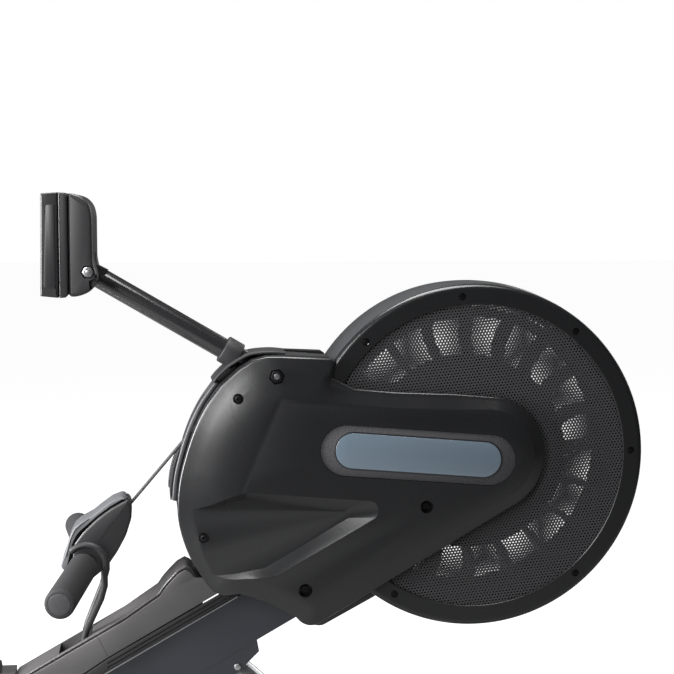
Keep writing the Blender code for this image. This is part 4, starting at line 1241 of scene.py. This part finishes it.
# ---- Rail: a brushed aluminium I-beam with rounded edges and a moulded end cap. A rubber stop at each
# end keeps the seat on it.
brushed = metal("brushed_rail", (0.58, 0.58, 0.59), 0.3, 0.3, "X")
rail_low, rail_high = (Vector(corner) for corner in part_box("monorail"))
RAIL_HALF, RAIL_LIP, RAIL_WEB = 0.030, 0.012, 0.018
half_rail = [(RAIL_HALF, rail_low.z), (RAIL_HALF, rail_low.z + RAIL_LIP), (RAIL_WEB, rail_low.z + RAIL_LIP),
             (RAIL_WEB, rail_high.z - RAIL_LIP), (RAIL_HALF, rail_high.z - RAIL_LIP),
             (RAIL_HALF, rail_high.z)]
rail_outline = rounded(half_rail + [(-y, z) for y, z in reversed(half_rail)], 0.0018, 3)
rail = along_x("seat_rail", rail_outline, rail_low.x, rail_high.x, 0.0005, 1)
settle(rail, brushed, "frame")
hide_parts("monorail")
cap_low, cap_high = (Vector(corner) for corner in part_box("rail_end_cap"))
cap_outline = [(cap_high.x, cap_low.z), (cap_low.x + 0.008, cap_low.z + 0.006),
               (cap_low.x, cap_low.z + 0.020),
               (cap_low.x, cap_high.z - 0.020), (cap_low.x + 0.008, cap_high.z - 0.004),
               (cap_high.x, cap_high.z)]
cap = solid("rail_cap", rounded(cap_outline, 0.006, 4), -0.0338, 0.0338, 0.0030, 3, Vector((0, 0, 0)))
settle(cap, console_plastic, "frame")
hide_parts("rail_end_cap")
for x, word in ((rail_low.x + 0.035, "rear"), (rail_high.x - 0.030, "front")):
    stop = solid("rail_stop_" + word,
                 rounded([(x - 0.010, rail_high.z + 0.0002), (x + 0.010, rail_high.z + 0.0002),
                 (x + 0.008, rail_high.z + 0.014), (x - 0.008, rail_high.z + 0.014)], 0.003, 3), -0.014,
                 0.014, 0.002, 2,
                 Vector((0, 0, 0)))
    settle(stop, pad_rubber, "frame")

# ---- Footrests: two ribbed foot plates of black plastic on a steel bar. Each has a sliding heel cup
# and a plain woven strap stretched over the foot.
FOOT_TILT = math.radians(50)
foot_bar_at = (Vector(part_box("footrest_bar")[0]) + Vector(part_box("footrest_bar")[1])) / 2
tilt = Matrix.Rotation(-FOOT_TILT, 4, "Y")


def webbing(name, colour):
    """Woven nylon strap, with its weave read from Object coordinates."""
    made = moulded(name, colour, 0.8, 0.00002, 900.0, 0.25)
    tree = made.node_tree
    shader = tree.nodes["Principled BSDF"]
    place = tree.nodes.new("ShaderNodeTexCoord")
    weave = tree.nodes.new("ShaderNodeTexWave")
    weave.bands_direction = "Y"
    socket_value(weave, "Scale", 160.0)
    socket_value(weave, "Distortion", 1.2)
    socket_value(weave, "Detail", 1.0)
    bump = tree.nodes.new("ShaderNodeBump")
    socket_value(bump, "Strength", 0.7)
    socket_value(bump, "Distance", 0.0004)
    wire(tree, place, "Object", weave, "Vector")
    wire(tree, weave, "Fac", bump, "Height")
    wire(tree, bump, "Normal", shader, "Normal")
    return made


plate_finish = moulded("footplate_plastic", (0.020, 0.020, 0.021), 0.5, 0.0001, 700.0, 0.4)
strap_web = webbing("strap_webbing", (0.018, 0.018, 0.019))
for side, word in ((-1, "near"), (1, "far")):
    place = foot_bar_at + Vector((0, side * 0.125, 0))

    def on_plate(made):
        """Turns a piece made level about the bar to the plate's tilt and moves it to the bar."""
        made.data.transform(tilt)
        made.data.transform(Matrix.Translation(place))
        return made

    origin = Vector((0, 0, 0))
    plate = solid("foot_board_" + word,
                  rounded([(-0.130, 0.0116), (0.170, 0.0116), (0.170, 0.0200), (-0.130, 0.0200)],
                  0.004, 3), -0.0595, 0.0595, 0.0015, 2, origin)
    boss = solid("foot_boss", arc((0, 0), 0.0188, 0, 352.5, 47), -0.0298, 0.0298, 0.0, 1, origin)
    bore = solid("foot_bore", arc((0, 0), 0.0113, 0, 352.5, 47), -0.1, 0.1, 0.0, 1, origin)
    plate = carve(carve(plate, [boss], "UNION"), [bore])
    plate = on_plate(plate)
    settle(plate, plate_finish, "footrest_" + word)
    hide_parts("footplate_" + word)
    rib = solid("plate_rib",
                rounded([(-0.0025, 0.0199), (0.0025, 0.0199), (0.0012, 0.0214), (-0.0012, 0.0214)],
                        0.0008, 2),
                -0.0460, 0.0460, 0.0, 1, origin)
    ribs = copies("foot_ribs_" + word, rib, [(0.022 + 0.011 * i, 0, 0) for i in range(13)],
                  [(0.0, 0.0, 0.0)] * 13,
                  plate_finish)
    settle(on_plate(ribs), plate_finish, "footrest_" + word)
    heel_outline = [(-0.1500, 0.0222), (0.0095, 0.0222), (0.0100, 0.0250), (-0.1300, 0.0256),
                    (-0.1370, 0.0300),
                    (-0.1385, 0.0640), (-0.1480, 0.0640), (-0.1498, 0.0560)]
    heel = solid("heel_rest_" + word, rounded(heel_outline, 0.003, 3), -0.0495, 0.0495, 0.0010, 2, origin)
    settle(on_plate(heel), plate_finish, "heel_" + word)
    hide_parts("heel_cup_" + word)
    strap_out = [(y * 0.98, z) for y, z in arc((0, 0.0216), 0.0650, 0, 180, 40)]
    strap_in = [(y * 0.98, z) for y, z in arc((0, 0.0216), 0.0634, 180, 0, 40)]
    strap = along_x("foot_webbing_" + word, strap_out + strap_in, 0.0555, 0.0925, 0.0005, 1)
    settle(on_plate(strap), strap_web, "footrest_" + word, 50.0)
    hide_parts("foot_strap_" + word)

# ---- Seat: a moulded pan on a bent steel carriage with two grooved rollers on the rail and two small ones
# under its lip. The pad is foam under black vinyl, dished for the hips.
pad_low, pad_high = (Vector(corner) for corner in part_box("seat_pad"))
RINGS, SPOKES = 26, 96
points = []
faces = []
half_x, half_y = (pad_high.x - pad_low.x) / 2 - 0.0015, (pad_high.y - pad_low.y) / 2 - 0.0015
middle = (pad_low + pad_high) / 2


def pad_edge(angle):
    """The pad's plan at this angle: rounded square, drawn in a little at the front's middle."""
    c, s = math.cos(angle), math.sin(angle)
    reach = (abs(c) ** 3.2 + abs(s) ** 3.2) ** (-1 / 3.2)
    notch = 1.0 - 0.07 * max(0.0, c) ** 6
    return half_x * reach * c * notch, half_y * reach * s


def pad_top(x, y):
    """The pad's height over its crown line: high at the back and sides, dished under each hip."""
    u, v = (x - middle.x) / half_x, (y - middle.y) / half_y
    dish = math.exp(-((abs(v) - 0.42) ** 2 / 0.09 + (u + 0.12) ** 2 / 0.25))
    groove = math.exp(-(v * v) / 0.012) * max(0.0, 0.4 + u)
    return -0.0125 * dish - 0.005 * groove + 0.004 * v * v - 0.010 * max(0.0, u - 0.45)


for ring in range(RINGS + 1):
    t = ring / RINGS
    for spoke in range(SPOKES):
        angle = math.tau * spoke / SPOKES
        ex, ey = pad_edge(angle)
        if t < 0.30:
            lift = math.sin(math.pi / 2 * t / 0.30)
            scale = 0.955 + 0.045 * math.sin(math.pi / 2 * min(1.0, t / 0.18))
            z = pad_low.z + 0.0005 + 0.038 * lift
        else:
            s = (t - 0.30) / 0.70
            scale = math.cos(math.pi / 2 * s) ** 0.62 if s < 1 else 0.0
            z = pad_low.z + 0.0385 + 0.0160 * math.sin(math.pi / 2 * min(1.0, s * 1.5)) ** 0.8
        x, y = middle.x + ex * scale, middle.y + ey * scale
        if t >= 0.30:
            z += pad_top(x, y) * min(1.0, (t - 0.30) / 0.25)
        points.append((x, y, min(z, pad_high.z - 0.0005)))
for ring in range(RINGS):
    for spoke in range(SPOKES):
        after = (spoke + 1) % SPOKES
        faces.append((ring * SPOKES + spoke, ring * SPOKES + after, (ring + 1) * SPOKES + after,
                      (ring + 1) * SPOKES + spoke))
faces.append(tuple(range(SPOKES))[::-1])


def vinyl(name, colour):
    """Black upholstery vinyl, with a leather grain at two sizes."""
    made = moulded(name, colour, 0.5, 0.00005, 900.0, 0.4, 0.04)
    tree = made.node_tree
    shader = tree.nodes["Principled BSDF"]
    place = tree.nodes.new("ShaderNodeTexCoord")
    grain = tree.nodes.new("ShaderNodeTexVoronoi")
    grain.feature = "DISTANCE_TO_EDGE"
    socket_value(grain, "Scale", 420.0)
    bump = tree.nodes.new("ShaderNodeBump")
    socket_value(bump, "Strength", 0.6)
    socket_value(bump, "Distance", 0.00025)
    wire(tree, place, "Object", grain, "Vector")
    wire(tree, grain, "Distance", bump, "Height")
    wire(tree, bump, "Normal", shader, "Normal")
    return made


vinyl_black = vinyl("vinyl_black", (0.014, 0.014, 0.015))
pad_mesh = bpy.data.meshes.new("seat_cushion")
pad_mesh.from_pydata(points, [], faces)
cushion = bpy.data.objects.new("seat_cushion", pad_mesh)
bpy.context.scene.collection.objects.link(cushion)
settle(cushion, vinyl_black, "seat", 70.0)
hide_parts("seat_pad")
piping_route = []
for spoke in range(SPOKES):
    ex, ey = pad_edge(math.tau * spoke / SPOKES)
    piping_route.append(Vector((middle.x + ex * 0.992, middle.y + ey * 0.992, pad_low.z + 0.0125)))
piping = bpy.data.curves.new("seat_piping", "CURVE")
piping.dimensions = "3D"
line = piping.splines.new("POLY")
line.points.add(len(piping_route) - 1)
for item, point in zip(line.points, piping_route):
    item.co = (*point, 1.0)
line.use_cyclic_u = True
piping.bevel_depth = 0.0016
piping.bevel_resolution = 3
piping_object = bpy.data.objects.new("seat_piping", piping)
bpy.context.scene.collection.objects.link(piping_object)
seat_piping = baked(piping_object, "seat_piping")
settle(seat_piping, vinyl_black, "seat", 80.0)
pan_low, pan_high = (Vector(corner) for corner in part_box("seat_pan"))
pan_outline = [(pan_low.x, pan_low.z), (pan_high.x, pan_low.z), (pan_high.x, pan_high.z),
               (pan_low.x, pan_high.z)]
pan = solid("seat_board", rounded(pan_outline, 0.002, 3), pan_low.y, pan_high.y, 0.0015, 2,
            Vector((0, 0, 0)))
settle(pan, console_plastic, "seat")
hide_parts("seat_pan")
tinted("seat_carriage", metal("carriage_steel", (0.30, 0.30, 0.31), 0.36, 0.1, "X"))
roller_urethane = moulded("roller_urethane", (0.030, 0.030, 0.032), 0.35, 0.00002, 600.0, 0.5)
for word in ("seat_roller_front", "seat_roller_rear", "under_roller_near", "under_roller_far"):
    tinted(word, roller_urethane)
tyre = moulded("wheel_rubber", (0.014, 0.014, 0.015), 0.7, 0.0002, 350.0, 0.3)
for word in ("transport_wheel_near", "transport_wheel_far"):
    tinted(word, tyre)


# ---- Studio: a white floor and a white surround that light the machine only faintly. The key light is
# low on the rower's side, a narrow light beside it draws the left chamfer, a broad one hangs overhead,
# and a weak one stands behind.
def studio_light(name, place, aim, width, height, power):
    lamp = bpy.data.lights.new(name, "AREA")
    lamp.shape = "RECTANGLE"
    lamp.size = width
    lamp.size_y = height
    lamp.energy = power
    made = bpy.data.objects.new(name, lamp)
    made.location = place
    made.rotation_euler = (Vector(aim) - Vector(place)).to_track_quat("-Z", "Y").to_euler()
    bpy.context.scene.collection.objects.link(made)
    return made


WORLD_LIGHT = 0.085
FLOOR_TONE = 0.22
FLOOR_GLOW = 0.95
FLOOR_GAP = 0.0005
studio_light("key_light", hub + Vector((-2.45, -0.45, 0.45)), hub + Vector((-0.3, 0, 0)), 1.0, 1.5, 210.0)
studio_light("side_light", hub + Vector((-1.45, -1.85, 0.80)), hub + Vector((-0.35, 0, 0)), 0.5, 1.2, 42.0)
studio_light("top_light", hub + Vector((-0.2, -0.1, 2.2)), hub, 3.0, 0.9, 130.0)
studio_light("rear_light", hub + Vector((1.6, 1.6, 1.0)), hub, 1.5, 1.5, 25.0)
world = bpy.data.worlds.new("studio_world")
world.use_nodes = True
sky = world.node_tree
seen, lit, choice = (sky.nodes.new(kind) for kind in (
    "ShaderNodeBackground", "ShaderNodeBackground", "ShaderNodeMixShader"))
ray = sky.nodes.new("ShaderNodeLightPath")
socket_value(seen, "Color", (1.0, 1.0, 1.0, 1.0))
socket_value(lit, "Color", (1.0, 1.0, 1.0, 1.0))
socket_value(lit, "Strength", WORLD_LIGHT)
wire(sky, ray, "Is Camera Ray", choice, 0)
wire(sky, lit, 0, choice, 1)
wire(sky, seen, 0, choice, 2)
sky.links.new(choice.outputs[0], sky.nodes["World Output"].inputs["Surface"])
bpy.context.scene.world = world
bpy.context.scene.view_settings.view_transform = "Standard"
floor_reach = 30.0
floor_points = [(-floor_reach, -floor_reach, 0), (floor_reach, -floor_reach, 0),
                (floor_reach, floor_reach, 0),
                (-floor_reach, floor_reach, 0)]
floor_mesh = bpy.data.meshes.new("studio_floor")
floor_mesh.from_pydata(floor_points, [], [(0, 1, 2, 3)])
floor = bpy.data.objects.new("studio_floor", floor_mesh)
floor.location.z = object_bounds()[0][2] - FLOOR_GAP
bpy.context.scene.collection.objects.link(floor)
floor_finish = bpy.data.materials.new("studio_white")
floor_finish.use_nodes = True
floor_shader = floor_finish.node_tree.nodes["Principled BSDF"]
socket_value(floor_shader, "Base Color", (FLOOR_TONE, FLOOR_TONE, FLOOR_TONE, 1.0))
socket_value(floor_shader, "Roughness", 0.9)
floor_glow = floor_finish.node_tree.nodes.new("ShaderNodeEmission")
socket_value(floor_glow, "Strength", FLOOR_GLOW)
floor_ray = floor_finish.node_tree.nodes.new("ShaderNodeLightPath")
floor_choice = floor_finish.node_tree.nodes.new("ShaderNodeMixShader")
floor_sum = floor_finish.node_tree.nodes.new("ShaderNodeAddShader")
floor_tree = floor_finish.node_tree
wire(floor_tree, floor_shader, 0, floor_sum, 0)
wire(floor_tree, floor_glow, 0, floor_sum, 1)
wire(floor_tree, floor_ray, "Is Camera Ray", floor_choice, 0)
wire(floor_tree, floor_shader, 0, floor_choice, 1)
wire(floor_tree, floor_sum, 0, floor_choice, 2)
floor_tree.links.new(floor_choice.outputs[0], floor_tree.nodes["Material Output"].inputs["Surface"])
floor.data.materials.append(floor_finish)
